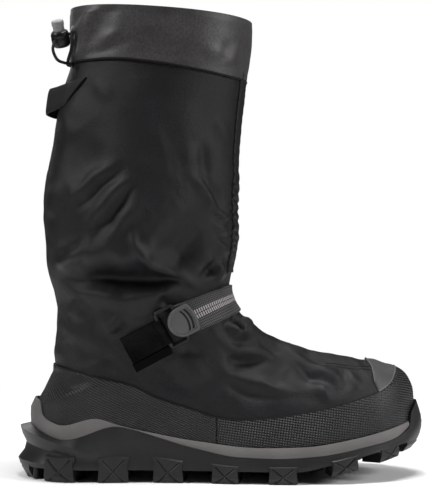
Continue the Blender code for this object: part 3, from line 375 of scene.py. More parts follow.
INNER_FOLDS = (
    (((-130, 164), (-100, 160), (-66, 157), (-34, 160)), 14, 6, -6.0),
    (((-126, 155), (-98, 149), (-64, 148), (-40, 152)), 5, 9, 2.4),
    (((-70, 200), (-60, 180), (-36, 166), (-12, 156)), 5, 5, 4.0),
    (((-46, 200), (-26, 186), (-8, 172)), 20, 16, -4.6),
    (((-72, 254), (-98, 232), (-122, 212)), 6, 6, 2.2),
    (((-62, 244), (-86, 222), (-110, 196)), 6, 6, -2.4),
    (((-54, 234), (-76, 208), (-94, 184)), 6, 6, 2.0),
    (((-126, 262), (-114, 288), (-100, 312)), 10, 10, 2.2),
    (((-30, 262), (-12, 232), (0, 206)), 6, 6, 2.2),
    (((-20, 256), (-6, 230), (4, 208)), 5, 5, -2.2),
    (((-118, 140), (-104, 124), (-84, 112)), 7, 7, 1.8),
    (((-10, 116), (12, 104), (40, 98)), 5, 6, 2.4),
    (((-4, 100), (22, 90), (50, 84)), 6, 6, -2.2),
    (((44, 104), (68, 90), (98, 76)), 5, 5, 2.2),
    (((54, 92), (78, 78), (96, 68)), 5, 5, -1.8),
    (((-60, 102), (-34, 84), (-6, 74)), 8, 8, 1.6),
)
RAND_EDGE = ((-160, 92), (-135, 89), (-113.3, 85.2), (-98, 81.5), (-73.4, 76), (-48.8, 65),
             (-21, 56), (-2.9, 50.2), (17, 48.3), (47, 50.8), (73, 55), (92, 59.3),
             (112, 64.8), (121, 67.6), (126, 69.8), (134.5, 75), (140.7, 84), (144, 92.5),
             (158, 140))


def rand_top(x):
    """The rubber rand's upper edge on the side view."""
    xs, zs = zip(*RAND_EDGE)
    return curve_through(xs, zs, x)


def strap_edges(x, inner):
    """The instep strap's lower and upper edge on the side view. inner goes from 0 on the outer
    side to 1 on the inner side."""
    low = (125.3 + 0.405 * x) * (1 - inner) + (126.2 + 0.382 * x) * inner
    high = (151.1 + 0.349 * x) * (1 - inner) + (149.9 + 0.385 * x) * inner
    return low, high


def fold_height(x, z, folds):
    """The sum of all folds at points of the side view. A point's nearest place on a fold's line
    gives its distance and how far along it lies. A fold narrows and sinks towards its ends."""
    total = np.zeros_like(x)
    for line, left, right, depth in folds:
        line = np.array(line, float)
        steps = np.diff(line, axis=0)
        lengths = np.linalg.norm(steps, axis=1)
        reach = 3 * max(left, right)
        near = ((x > line[:, 0].min() - reach) & (x < line[:, 0].max() + reach)
                & (z > line[:, 1].min() - reach) & (z < line[:, 1].max() + reach))
        place = np.stack([x[near], z[near]], axis=-1)
        best = np.full(len(place), 1e9)
        along, side = np.zeros(len(place)), np.ones(len(place))
        passed = 0.0
        for start, step, length in zip(line, steps, lengths):
            off = place - start
            t = np.clip((off @ step) / length ** 2, 0, 1)
            distance = np.linalg.norm(off - t[:, None] * step, axis=1)
            closer = distance < best
            best = np.where(closer, distance, best)
            along = np.where(closer, passed + t * length, along)
            cross = step[0] * off[:, 1] - step[1] * off[:, 0]
            side = np.where(closer, np.sign(cross), side)
            passed += length
        share = along / passed
        fade = smooth(-0.05, 0.42, share) * (1 - smooth(0.58, 1.05, share))
        width = np.where(side > 0, left, right) * (0.5 + 0.5 * fade)
        total[near] += depth * fade * np.exp(-(best / width) ** 2)
    return total


def soft_noise(x, z, size, seed):
    """Smooth noise from -1 to 1: random values on a square lattice, blended with S steps."""
    lattice = np.random.default_rng(seed).uniform(-1, 1, (64, 64))
    u, v = x / size + 200.0, z / size + 200.0
    i, j = np.floor(u).astype(int), np.floor(v).astype(int)
    s, t = smooth(0, 1, u - i), smooth(0, 1, v - j)
    corner = lattice[i % 64, j % 64] * (1 - s) + lattice[(i + 1) % 64, j % 64] * s
    other = lattice[i % 64, (j + 1) % 64] * (1 - s) + lattice[(i + 1) % 64, (j + 1) % 64] * s
    return corner * (1 - t) + other * t


FOLD_DEPTH = 1.5
RAND_FOLDS = (
    (((-140, 60), (-120, 65), (-98, 73), (-80, 78)), 5, 7, 2.2),
    (((-136, 74), (-118, 74), (-100, 79)), 5, 4, -1.2),
)


def crumple(point, turn, level):
    """All folds of the fabric: the side's own folds, faded over from side to side at the front
    and back, and slight creases everywhere, where ridged noise is 1 - |noise|. Noise also bends the
    folds' lines a little. The rubber rand and the cuff hold the fabric smooth."""
    x, y, z = point[..., 0], point[..., 1], point[..., 2]
    inner = smooth(-9, 9, y)
    bent_x = x + 1.7 * soft_noise(x, z, 12, 7)
    bent_z = z + 1.7 * soft_noise(x + 50, z, 12, 8)
    folds = FOLD_DEPTH * fold_height(bent_x, bent_z, OUTER_FOLDS) * (1 - inner)
    folds += FOLD_DEPTH * fold_height(bent_x, bent_z, INNER_FOLDS) * inner
    fine = 1 - 2 * np.abs(soft_noise(x + 0.8 * z, 0.6 * z - 0.6 * x, 8.5, 11))
    folds += 0.22 * fine * (1 - smooth(225, 300, z))
    round_way = 60 * np.sin(turn) + 40 * turn * (turn < np.pi) + 40 * (6.283 - turn) * (turn >= np.pi)
    crease = 1 - np.abs(soft_noise(x + 0.4 * z, 0.5 * z - x * 0.3 + y * 0.2, 17, 5)) * 2
    folds += 0.6 * crease + 1.0 * soft_noise(x * 0.6 + 0.02 * round_way, z, 34, 9)
    ribs = np.sin(1.21 * z + 0.7 * x + 2 * soft_noise(x, z, 11, 4))
    edge = form(np.full_like(turn, np.pi), level)[..., 0] - x
    folds += 0.75 * ribs * np.exp(-((edge - 7) / 4.5) ** 2) * smooth(160, 190, z) * (
        1 - smooth(212, 244, z))
    hold = smooth(0, 14, z - rand_top(x)) * (1 - smooth(HEM - 1.1, HEM - 0.1, level))
    low, high = strap_edges(x, smooth(-10, 10, y))
    off_strap = np.maximum(low - z, z - high)
    pressed = (1 - smooth(0, 6, off_strap)) * smooth(-82, -70, x)
    on_rand = fold_height(x, z, RAND_FOLDS) * (1 - 0.4 * inner)
    return folds * hold + on_rand - pressed * np.maximum(folds * hold - 0.1, 0)


def skin(turn, level, lift=0.0):
    """A place on the dressed upper: the form, moved outwards by its folds and a lift."""
    turn, level = np.broadcast_arrays(np.asarray(turn, float), np.asarray(level, float))
    point = form(turn, level)
    off = crumple(point, turn, level) + lift
    return point + off[..., None] * outward(turn, level)


print(len(OUTER_FOLDS), "folds on the outer side,", len(INNER_FOLDS), "on the inner side")

# %% [markdown]
# Every surface here is a grid of points. One helper turns such a grid into a mesh: numpy works
# out the four corners of each face, and foreach_set hands whole arrays to Blender, which is
# hundreds of times faster than adding faces one by one.

# %% From a grid of points to a mesh
def grid_faces(rows, columns, wrap_rows, wrap_columns):
    """Corner numbers of each face: a point, its neighbour along the row, and the two above."""
    i = np.arange(rows if wrap_rows else rows - 1)[:, None]
    j = np.arange(columns if wrap_columns else columns - 1)[None, :]
    i_up, j_on = (i + 1) % rows, (j + 1) % columns
    corners = [i * columns + j, i * columns + j_on, i_up * columns + j_on, i_up * columns + j]
    return np.stack([np.broadcast_to(c, (i.size, j.size)) for c in corners], -1).reshape(-1, 4)


def new_mesh(name, points, faces, uv=None):
    """A mesh from points in mm and faces of four corners, with an optional UV per point."""
    mesh = bpy.data.meshes.new(name)
    mesh.vertices.add(len(points))
    mesh.vertices.foreach_set("co", (np.asarray(points, float) * MM).ravel())
    mesh.loops.add(faces.size)
    mesh.loops.foreach_set("vertex_index", faces.ravel().astype(np.int32))
    mesh.polygons.add(len(faces))
    mesh.polygons.foreach_set("loop_start", np.arange(len(faces), dtype=np.int32) * 4)
    mesh.update(calc_edges=True)
    if uv is not None:
        layer = mesh.uv_layers.new(name="cloth")
        layer.data.foreach_set("uv", np.asarray(uv, float)[faces.ravel()].ravel())
    return mesh


def add_piece(name, mesh, material, replaces=(), body=BODY, crisp=40):
    """Show a mesh as a piece of the boot, smooth except along edges sharper than crisp."""
    piece = bpy.data.objects.new(name + "_finished" if replaces else name, mesh)
    scene.collection.objects.link(piece)
    mesh.materials.append(material)
    mesh.shade_smooth()
    mesh.set_sharp_from_angle(angle=math.radians(crisp))
    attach(piece, body)
    if replaces:
        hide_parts(*replaces)
    return piece


def weld(mesh):
    """Merge points that lie on each other and turn all faces outwards."""
    work = bmesh.new()
    work.from_mesh(mesh)
    bmesh.ops.remove_doubles(work, verts=work.verts, dist=0.00001)
    bmesh.ops.dissolve_degenerate(work, edges=work.edges, dist=0.000001)
    bmesh.ops.recalc_face_normals(work, faces=work.faces)
    work.to_mesh(mesh)
    work.free()
    return mesh


def add_modifier(piece, kind, **settings):
    """Put a modifier on a piece."""
    modifier = piece.modifiers.new(kind.title(), kind)
    for key, value in settings.items():
        setattr(modifier, key, value)


def round_edges(piece, width, sharper_than):
    """A live Bevel, width in mm, on the edges sharper than an angle."""
    add_modifier(piece, "BEVEL", width=width * MM, segments=2, limit_method="ANGLE",
                 angle_limit=math.radians(sharper_than))


def tube_grid(path, radius, sides, across=None):
    """A tube along a path: each point's ring is radius times cos and sin of an angle along two
    directions square to the path. across, where given, is one of them."""
    path = np.asarray(path, float)
    along = np.gradient(path, axis=0)
    along /= np.linalg.norm(along, axis=1, keepdims=True)
    if across is None:
        across = np.array((0.3, 0.2, 1.0))
    first = np.cross(along, across)
    first /= np.linalg.norm(first, axis=1, keepdims=True)
    second = np.cross(along, first)
    angle = np.arange(sides) * 2 * np.pi / sides
    ring = (np.cos(angle)[None, :, None] * first[:, None] + np.sin(angle)[None, :, None]
            * second[:, None])
    return path[:, None] + np.asarray(radius, float).reshape(-1, 1, 1) * ring


def closed_tube(name, grid):
    """A tube's grid with its ends drawn to a point, so that the mesh is closed."""
    start, end = grid[:1].mean(axis=1, keepdims=True), grid[-1:].mean(axis=1, keepdims=True)
    columns = grid.shape[1]
    grid = np.concatenate([np.repeat(start, columns, 1), grid, np.repeat(end, columns, 1)])
    faces = grid_faces(grid.shape[0], columns, False, True)
    return weld(new_mesh(name, grid.reshape(-1, 3), faces))


def joined_tube(name, grid, uv=None):
    """A tube whose last ring meets its first, as a mesh."""
    return weld(new_mesh(name, grid.reshape(-1, 3), grid_faces(*grid.shape[:2], True, True), uv))


def resample(points, count):
    """A smooth curve through a few points (each stretch a Catmull-Rom cubic), as count points
    evenly along it."""
    points = np.asarray(points, float)
    ends = np.concatenate([2 * points[:1] - points[1:2], points, 2 * points[-1:] - points[-2:-1]])
    t = np.linspace(0, 1, 24)[:, None]
    parts = [0.5 * (2 * b + (c - a) * t + (2 * a - 5 * b + 4 * c - d) * t ** 2
                    + (3 * b - a - 3 * c + d) * t ** 3)
             for a, b, c, d in zip(ends, ends[1:], ends[2:], ends[3:])]
    line = np.concatenate(parts)
    along = np.concatenate([[0], np.cumsum(np.linalg.norm(np.diff(line, axis=0), axis=1))])
    even = np.linspace(0, along[-1], count)
    return np.stack([np.interp(even, along, line[:, i]) for i in range(line.shape[1])], -1)


print("mesh helpers ready")

# %% [markdown]
# Finishes. Each material is a Principled shader whose colour, roughness and bump come from
# procedural nodes. Small helpers keep the node code short: one adds a node and sets its sockets,
# one turns a height into bump.

# %% Material helpers
def link_node(tree, kind, inputs=None, **settings):
    """Add a node, set its properties, then set or link its sockets by name or number."""
    node = tree.nodes.new(kind)
    for key, value in settings.items():
        setattr(node, key, value)
    for key, value in (inputs or {}).items():
        if isinstance(value, bpy.types.NodeSocket):
            tree.links.new(value, node.inputs[key])
        else:
            node.inputs[key].default_value = value
    return node


def finish_of(name, dark, pale, rough, sheen=0.0, gloss=0.3):
    """A material whose base colour wanders between two greys over a few centimetres. Returns the
    material, its tree, its shader and its Object coordinates."""
    made = bpy.data.materials.new(name)
    made.use_nodes = True
    tree = made.node_tree
    shader = tree.nodes["Principled BSDF"]
    shader.inputs["Roughness"].default_value = rough
    shader.inputs["Specular IOR Level"].default_value = gloss
    shader.inputs["Sheen Weight"].default_value = sheen
    shader.inputs["Sheen Roughness"].default_value = 0.4
    place = link_node(tree, "ShaderNodeTexCoord").outputs["Object"]
    wander = link_node(tree, "ShaderNodeTexNoise", {"Vector": place, "Scale": 45.0, "Detail": 4.0})
    ramp = link_node(tree, "ShaderNodeMapRange", {"Value": wander.outputs["Fac"], "From Min": 0.3,
                                                  "From Max": 0.7})
    mix = link_node(tree, "ShaderNodeMix", {"Factor": ramp.outputs["Result"]}, data_type="RGBA")
    mix.inputs["A"].default_value = (*dark, 1)
    mix.inputs["B"].default_value = (*pale, 1)
    tree.links.new(mix.outputs["Result"], shader.inputs["Base Color"])
    return made, tree, shader, place


def bump(tree, shader, height_socket, depth):
    """Raise the surface by a height from 0 to 1 times a depth in metres."""
    node = link_node(tree, "ShaderNodeBump", {"Height": height_socket, "Distance": depth,
                                              "Strength": 1.0})
    tree.links.new(node.outputs["Normal"], shader.inputs["Normal"])


def math_node(tree, operation, a, b=0.0):
    """One step of arithmetic on sockets."""
    return link_node(tree, "ShaderNodeMath", {0: a, 1: b}, operation=operation).outputs[0]


def cloth_map(tree):
    """The piece's own UV map, in metres of cloth."""
    return link_node(tree, "ShaderNodeUVMap", uv_map="cloth").outputs["UV"]


def waves(tree, vector, across, up):
    """Two sin² waves, one along each axis of a vector, at the given counts per metre."""
    split = link_node(tree, "ShaderNodeSeparateXYZ", {"Vector": vector})
    made = []
    for socket, count in (("X", across), ("Y", up)):
        angle = math_node(tree, "MULTIPLY", split.outputs[socket], count * math.pi)
        wave = math_node(tree, "SINE", angle)
        made.append(math_node(tree, "MULTIPLY", wave, wave))
    return made


def threads(tree, vector, across, up):
    """Woven threads: the sum of a wave across and a wave up."""
    return math_node(tree, "ADD", *waves(tree, vector, across, up))


def tint(tree, shader, factor, colour, end="A"):
    """Mix a colour into the base colour: at end A it shows where factor is 0, at B where it is 1."""
    plain = shader.inputs["Base Color"].links[0].from_socket
    mix = link_node(tree, "ShaderNodeMix", {"Factor": factor}, data_type="RGBA")
    mix.inputs[end].default_value = (*colour, 1)
    tree.links.new(plain, mix.inputs["B" if end == "A" else "A"])
    tree.links.new(mix.outputs["Result"], shader.inputs["Base Color"])


# %% [markdown]
# The shaft's nylon is a fine matte weave, near black. Its weave follows the piece's own UV map,
# in metres of cloth, so threads run round and up the leg. The cuff is a smoother, paler satin.

# %% Cloth finishes
# painted shade: the near black laid into the valleys of webbing and of stamped rubber
PAINTED_VALLEY_SHADE = (0.002, 0.002, 0.002)


def woven(name, dark, pale, rough, per_metre, depth, sheen, gloss=0.2):
    """A cloth: threads on the UV map, and fine noise that raises slubs and flecks the colour."""
    made, tree, shader, place = finish_of(name, dark, pale, rough, sheen, gloss)
    weave = threads(tree, cloth_map(tree), per_metre, per_metre)
    slub = link_node(tree, "ShaderNodeTexNoise", {"Vector": place, "Scale": 620.0, "Detail": 4.0})
    mixed = math_node(tree, "ADD", weave, math_node(tree, "MULTIPLY", slub.outputs["Fac"], 4.0))
    bump(tree, shader, mixed, depth)
    fleck = link_node(tree, "ShaderNodeMapRange", {
        "Value": slub.outputs["Fac"], "From Min": 0.36, "From Max": 0.6, "To Min": 0.35,
        "To Max": 1.0})
    tint(tree, shader, fleck.outputs["Result"], [0.5 * value for value in dark])
    return made


NYLON = woven("nylon", (0.0044, 0.0037, 0.0046), (0.0094, 0.0079, 0.0098), 0.5, 1700, 0.00005, 0.01,
              0.27)
SATIN = woven("cuff_satin", (0.036, 0.0332, 0.0352), (0.053, 0.050, 0.052), 0.5, 1300, 0.00002, 0.03,
              0.36)
LINING = woven("lining", (0.006, 0.006, 0.0065), (0.009, 0.009, 0.0095), 0.85, 500, 0.0001, 0.01, 0.1)
# near black piping and seam lines; along the hem and the rand's edge they are also painted shadow
PIPING_AND_SHADOW_LINES = woven("piping", (0.004, 0.004, 0.004), (0.006, 0.006, 0.006), 0.7, 900, 0.00005, 0.0)


def webbing(name, dark, pale, ladder):
    """Webbing: ribs along it and weft across it on its UV map in metres, painted shade near black in
    the valleys between the ribs, and, where ladder is set, two rows of pale bars down its middle that
    reflect light."""
    made, tree, shader, _ = finish_of(name, dark, pale, 0.7, 0.05)
    cloth = cloth_map(tree)
    ribs = math_node(tree, "MULTIPLY", threads(tree, cloth, 620, 560), 0.5)
    bump(tree, shader, ribs, 0.0003)
    # painted shade: the valleys between the ribs, where the bump is low, are darkened to near black
    tint(tree, shader, math_node(tree, "POWER", ribs, 1.5), PAINTED_VALLEY_SHADE)
    if ladder:
        split = link_node(tree, "ShaderNodeSeparateXYZ", {"Vector": cloth})
        off_middle = math_node(tree, "ABSOLUTE", split.outputs["Y"])
        band = math_node(tree, "MULTIPLY", math_node(tree, "LESS_THAN", off_middle, 0.0032),
                         math_node(tree, "GREATER_THAN", off_middle, 0.0003))
        phase = math_node(tree, "FRACT", math_node(tree, "MULTIPLY", split.outputs["X"], 470.0))
        bars = math_node(tree, "MULTIPLY", math_node(tree, "LESS_THAN", phase, 0.5), band)
        tint(tree, shader, bars, (0.33, 0.30, 0.31), end="B")
    return made


STRAP_WEB = webbing("strap_webbing", (0.066, 0.063, 0.066), (0.120, 0.116, 0.120), True)
TAB_WEB = webbing("tab_webbing", (0.075, 0.073, 0.075), (0.110, 0.108, 0.110), False)
# painted shade: a near black copy of the tab's webbing for the tab's shaded sides
SHADED_TAB_WEB = webbing("tab_painted_shade", (0.008, 0.008, 0.008), (0.012, 0.012, 0.012), False)
print(len(bpy.data.materials), "materials so far, the cloths among them")

# %% [markdown]
# Rubber and plastic. The rand is rubberised cloth with a stamped pattern: raised dots in slanted
# rows at the heel, brick-like rows at the front. Voronoi cells would be random, so the dots are
# sine waves on the UV map, and the valleys between the rows are painted near black as shade.
# Foam and moulded rubber get a fine grain.

# %% Rubber, foam and plastic finishes
def stamped(name, dark, pale, turn_degrees, across, rows, depth):
    """Stamped rubber: dots in rows on the UV map, turned by an angle. The rows are a sin² wave,
    the dots along them a weaker one, and the valleys between the rows are painted near black as
    shade."""
    made, tree, shader, _ = finish_of(name, dark, pale, 0.42, gloss=0.3)
    slanted = link_node(tree, "ShaderNodeMapping", {
        "Vector": cloth_map(tree), "Rotation": (0, 0, math.radians(-turn_degrees))})
    dotted, rowed = waves(tree, slanted.outputs["Vector"], across, rows)
    along = math_node(tree, "ADD", math_node(tree, "MULTIPLY", dotted, 0.75), 0.25)
    dots = math_node(tree, "POWER", math_node(tree, "MULTIPLY", rowed, along), 1.4)
    bump(tree, shader, dots, depth)
    # painted shade: where the dots are low, between the rows, the colour goes to near black
    tint(tree, shader, dots, PAINTED_VALLEY_SHADE)
    return made


def moulded(name, dark, pale, rough, grain, depth, metallic=0.0, gloss=0.3):
    """Moulded rubber or plastic with a fine grain."""
    made, tree, shader, place = finish_of(name, dark, pale, rough, 0.0, gloss)
    shader.inputs["Metallic"].default_value = metallic
    fine = link_node(tree, "ShaderNodeTexNoise", {"Vector": place, "Scale": grain, "Detail": 5.0})
    bump(tree, shader, fine.outputs["Fac"], depth)
    return made


RAND_REAR = stamped("rand_rear", (0.026, 0.026, 0.0265), (0.052, 0.052, 0.0535), 24, 760, 600, 0.0005)
RAND_FRONT = stamped("rand_front", (0.036, 0.035, 0.036), (0.066, 0.066, 0.068), 8, 480, 520,
                     0.0005)
TOE_RUBBER = moulded("toe_rubber", (0.050, 0.0485, 0.048), (0.066, 0.064, 0.0635), 0.5, 900, 0.00006)
DARK_RUBBER = moulded("dark_rubber", (0.0095, 0.0094, 0.0098), (0.0155, 0.0153, 0.0158), 0.45, 700,
                      0.00009)
GREY_FOAM = moulded("grey_foam", (0.100, 0.094, 0.092), (0.125, 0.118, 0.116), 0.62, 800, 0.00009)
FELT = moulded("insole_felt", (0.016, 0.016, 0.017), (0.024, 0.024, 0.025), 0.9, 1500, 0.0003)
BUCKLE_GREY = moulded("buckle_plastic", (0.064, 0.064, 0.065), (0.082, 0.082, 0.083), 0.42, 1500,
                      0.00003)
BLACK = moulded("black_plastic", (0.004, 0.004, 0.004), (0.007, 0.007, 0.007), 0.38, 1500, 0.00003)
PALE_BUTTON = moulded("button_plastic", (0.20, 0.20, 0.20), (0.26, 0.26, 0.26), 0.4, 1200, 0.00003)
STEEL = moulded("eyelet_metal", (0.5, 0.5, 0.5), (0.6, 0.6, 0.6), 0.3, 600, 0.00002, 1.0)
FUZZ = moulded("hook_and_loop", (0.0015, 0.0015, 0.0015), (0.011, 0.011, 0.011), 0.95, 620, 0.0012,
               gloss=0.03)
BAR_PLASTIC = moulded("label_bar", (0.002, 0.002, 0.002), (0.003, 0.003, 0.003), 0.6, 1200,
                      0.00003, gloss=0.03)
CORD_BRAID = moulded("cord_braid", (0.012, 0.012, 0.012), (0.024, 0.024, 0.024), 0.8, 1600, 0.0003)
print(len(bpy.data.materials), "materials")

# %% [markdown]
# The cords: both ends of the elastic drawcord leave the eyelet in the cuff. One goes through the
# lock's hole, bulges out and ends under the hem, the other runs down beside the lock. They are
# curves with a round bevel, on the same routes as their solids.

# %% Drawcord
CORD_R = 1.25
LOCK_CENTRE = (-126.9, -31.0, 349.2)
LOCK_AXIS = (-0.147, -0.395, 0.906)
LOCK_HOLE_AXIS = (0.468, 0.780, 0.416)
EYELET_HEIGHT, HEM_HEIGHT = 355.0, 329.2
GAP, CUFF_WALL, CORD_LIFT = 0.3, 1.3, 0.55


def leg_at(turn, z, lift):
    """A place on the leg at a turn and a height, lifted off it, and its outward direction."""
    level = level_on(np.array([turn]), lambda x: z + 0 * x)
    normal = outward(np.array([turn]), level)[0]
    return form(np.array([turn]), level)[0] + lift * normal, normal


def axes_at(first, third, origin):
    """A frame from its first and third axes, the second across both, at a place."""
    made = Matrix((first, third.cross(first), third)).transposed().to_4x4()
    made.translation = origin
    return made


def lock_frame():
    """Axes of the cord lock: along its cord hole, across it, and along its button."""
    up = Vector(LOCK_AXIS).normalized()
    hole = Vector(LOCK_HOLE_AXIS)
    hole = (hole - hole.dot(up) * up).normalized()
    return axes_at(hole, up, Vector(LOCK_CENTRE))


def in_lock(distance):
    """A place on the cord hole's own line."""
    return tuple(lock_frame() @ Vector((distance, 0, 0.5)))


def add_cord(name, points, node):
    """A round cord on a smooth curve through its route."""
    line = resample(points, 40) * MM
    curve = bpy.data.curves.new(name, "CURVE")
    curve.dimensions = "3D"
    curve.bevel_depth = CORD_R * MM
    curve.bevel_resolution = 3
    curve.use_fill_caps = True
    spline = curve.splines.new("POLY")
    spline.points.add(len(line) - 1)
    spline.points.foreach_set("co", np.column_stack([line, np.ones(len(line))]).ravel())
    curve.materials.append(CORD_BRAID)
    cord = bpy.data.objects.new(name, curve)
    scene.collection.objects.link(cord)
    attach(cord, BODY)
    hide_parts(node)


def at_hem(turn):
    """The cord's end at the hem's seam, and a place just off it."""
    end, normal = leg_at(turn, HEM_HEIGHT, CORD_LIFT)
    return [end + 3.0 * normal, end]


on_cuff = GAP + CUFF_WALL + CORD_LIFT
start, _ = leg_at(0.335, EYELET_HEIGHT, on_cuff)
add_cord("cord_through_lock", [
    start, in_lock(8.5), in_lock(3), in_lock(-3), in_lock(-8.5), (-131.6, -39.8, 343.4),
    (-132.0, -40.6, 339.5), (-130.8, -38.2, 335.0), (-128.0, -32.5, 331.4), *at_hem(0.36)],
    "drawcord_long")
start, normal = leg_at(0.395, EYELET_HEIGHT, on_cuff)
add_cord("cord_beside_lock", [
    start, start + 1.6 * normal, (-118.4, -30.4, 351.6), (-117.4, -33.2, 346.5),
    (-118.6, -32.0, 340.0), (-121.2, -27.0, 333.6), *at_hem(0.28)], "drawcord_short")

# %% [markdown]
# The shaft is one closed wall: its grid climbs the outside, turns over the rim and goes down the
# inside to the sole. The lining lies 2 mm in and follows the same folds.

# %% Shaft and lining
COLUMNS, OUTSIDE_ROWS, INSIDE_ROWS = 300, 232, 92
FABRIC = 2.0
LEG_RADIUS = 0.070


def wall_grid(columns, outside, inside):
    """Rows of the outer skin from the sole to the rim, then rows of the lining back down."""
    turn = np.arange(columns) * 2 * np.pi / columns
    up = np.linspace(-0.9, RIM, outside)
    down = np.linspace(RIM, -0.9, inside)
    turn_up, level_up = np.meshgrid(turn, up)
    turn_down, level_down = np.meshgrid(turn, down)
    outer = skin(turn_up, level_up)
    inner = skin(turn_down, level_down, -FABRIC)
    uv_outer = np.stack([turn_up * LEG_RADIUS, outer[..., 2] * MM], axis=-1)
    uv_inner = np.stack([turn_down * LEG_RADIUS, inner[..., 2] * MM], axis=-1)
    return np.concatenate([outer, inner]), np.concatenate([uv_outer, uv_inner])


grid, uv = wall_grid(COLUMNS, OUTSIDE_ROWS, INSIDE_ROWS)
faces = grid_faces(grid.shape[0], COLUMNS, True, True)
shaft_mesh = new_mesh("shaft", grid.reshape(-1, 3), faces, uv.reshape(-1, 2))
add_piece("shaft", shaft_mesh, NYLON, ["upper"], crisp=80)
shaft_mesh.materials.append(LINING)
lined = (faces // COLUMNS).min(axis=1) >= OUTSIDE_ROWS - 1
shaft_mesh.polygons.foreach_set("material_index", lined.astype(np.int32))
print("shaft:", len(faces), "faces")

# %% [markdown]
# The cuff lies over the top of the shaft. A stitched channel for the drawcord runs round its
# middle, where the cloth swells a little and puckers. Its lower edge is bound with black piping,
# which also stands for the painted shadow under the cuff's overlapping edge.

# %% Cuff and piping
CHANNEL_LEVEL = 20.15
CUFF_FOLDS = (
    (((-116, 350), (-109, 359), (-102, 369)), 4, 6, 1.5),
    (((-106, 335), (-90, 347), (-76, 353)), 5, 7, 1.3),
    (((-100, 333), (-82, 341), (-64, 344)), 5, 5, -0.9),
    (((-18, 341), (-6, 337), (8, 333)), 5, 6, 1.3),
    (((4, 322), (9, 334), (14, 348)), 4, 5, 1.2),
    (((-4, 326), (2, 336), (5, 348)), 4, 4, -0.9),
    (((-62, 352), (-52, 356), (-38, 357)), 7, 6, 0.8),
)


def cuff_swell(turn, level):
    """How far the cuff stands off: the channel's soft swelling, puckers beside it, a broad
    highlight fold near the back and loose drape, all fading out at the hem and the rim."""
    wave = soft_noise(np.cos(turn) * 60, np.sin(turn) * 60 + level * 6, 9, 3)
    broad = soft_noise(np.cos(turn) * 60 + level * 9, np.sin(turn) * 60 - level * 12, 30, 8)
    channel = 0.3 * np.exp(-((level - CHANNEL_LEVEL) / 0.4) ** 2)
    stitched = -0.05 * np.exp(-((level - CHANNEL_LEVEL + 0.5) / 0.05) ** 2)
    place = form(turn, level)
    drape = fold_height(place[..., 0], place[..., 2], CUFF_FOLDS)
    pucker = 0.35 * wave * np.exp(-((level - CHANNEL_LEVEL) / 0.5) ** 2)
    fold = 2.4 * np.exp(-((turn - 0.66 - 0.10 * (level - 20)) / 0.10) ** 2)
    fold -= 1.2 * np.exp(-((turn - 0.88 - 0.16 * (level - 20)) / 0.12) ** 2)
    hold = smooth(HEM, HEM + 0.35, level) * (1 - smooth(RIM - 0.3, RIM, level))
    return channel + stitched + pucker + (0.9 * broad + fold + drape) * hold


def hem_level(turn):
    """The hem's level: as sewn at the back, a little up beside it, and dipping at the front."""
    dip = 0.34 * smooth(1.5, 2.7, turn) * (1 - smooth(3.6, 4.8, turn))
    rise = 0.09 * np.exp(-((turn - 1.15) / 0.4) ** 2) + 0.09 * np.exp(-((turn - 5.13) / 0.4) ** 2)
    return HEM - dip + rise


turn = np.arange(COLUMNS) * 2 * np.pi / COLUMNS
share_up = np.concatenate([np.zeros(3), np.linspace(0, 1, 90), np.ones(3)])
lifts = np.concatenate([[-0.5, 0.2, 1.0], np.full(90, GAP + CUFF_WALL), [1.2, 0.5, -0.3]])
turn_grid, share_grid = np.meshgrid(turn, share_up)
level_grid = hem_level(turn_grid) + (RIM - hem_level(turn_grid)) * share_grid
lift_grid = np.repeat(lifts[:, None], COLUMNS, axis=1)
swell = cuff_swell(turn_grid, level_grid) * (lift_grid > 1.5)
grid = form(turn_grid, level_grid) + (lift_grid + swell)[..., None] * outward(turn_grid, level_grid)
grid[-1, :, 2] -= 0.3
turn_in, share_in = np.meshgrid(turn, np.linspace(1, 0, 8))
level_in = hem_level(turn_in) + (RIM - hem_level(turn_in)) * share_in
back_wall = form(turn_in, level_in) - 0.4 * outward(turn_in, level_in)
grid = np.concatenate([grid, back_wall])
uv = np.stack([np.tile(turn * LEG_RADIUS, (len(grid), 1)), grid[..., 2] * MM], axis=-1)
faces = grid_faces(len(grid), COLUMNS, True, True)
add_piece("cuff", new_mesh("cuff", grid.reshape(-1, 3), faces, uv.reshape(-1, 2)), SATIN,
          ["cuff"], crisp=60)
# the black tube at the hem: partly real piping, partly painted shadow under the cuff's edge
hem_line = form(turn, hem_level(turn)) + 1.15 * outward(turn, hem_level(turn))
hem_line[:, 2] -= 0.4
ring = np.concatenate([hem_line, hem_line[:1]])
hem_shadow_piping_grid = tube_grid(ring, 0.95, 10, across=(0, 0, 1.0))[:-1]
add_piece("hem_piping_and_shadow", joined_tube("hem_piping_and_shadow", hem_shadow_piping_grid, np.zeros((COLUMNS * 10, 2))),
          PIPING_AND_SHADOW_LINES)
print("cuff and its piping")


# %% [markdown]
# Rand, toe patch, flap, straps and labels are all laid over the skin, so they share one recipe:
# a grid over the skin, lifted by its thickness, whose border dips under the skin. A second grid
# just below closes it. Where it lies is a function that gives turn and level for two shares.

# %% A patch laid over the skin
def eased(count, edge):
    """Shares from 0 to 1 with three close together at each end, and how far each is raised."""
    inner = np.linspace(edge, 1 - edge, count)
    return (np.concatenate([[0, 0], inner, [1, 1]]),
            np.concatenate([[0, 0.62], np.ones(count), [0.62, 0]]))


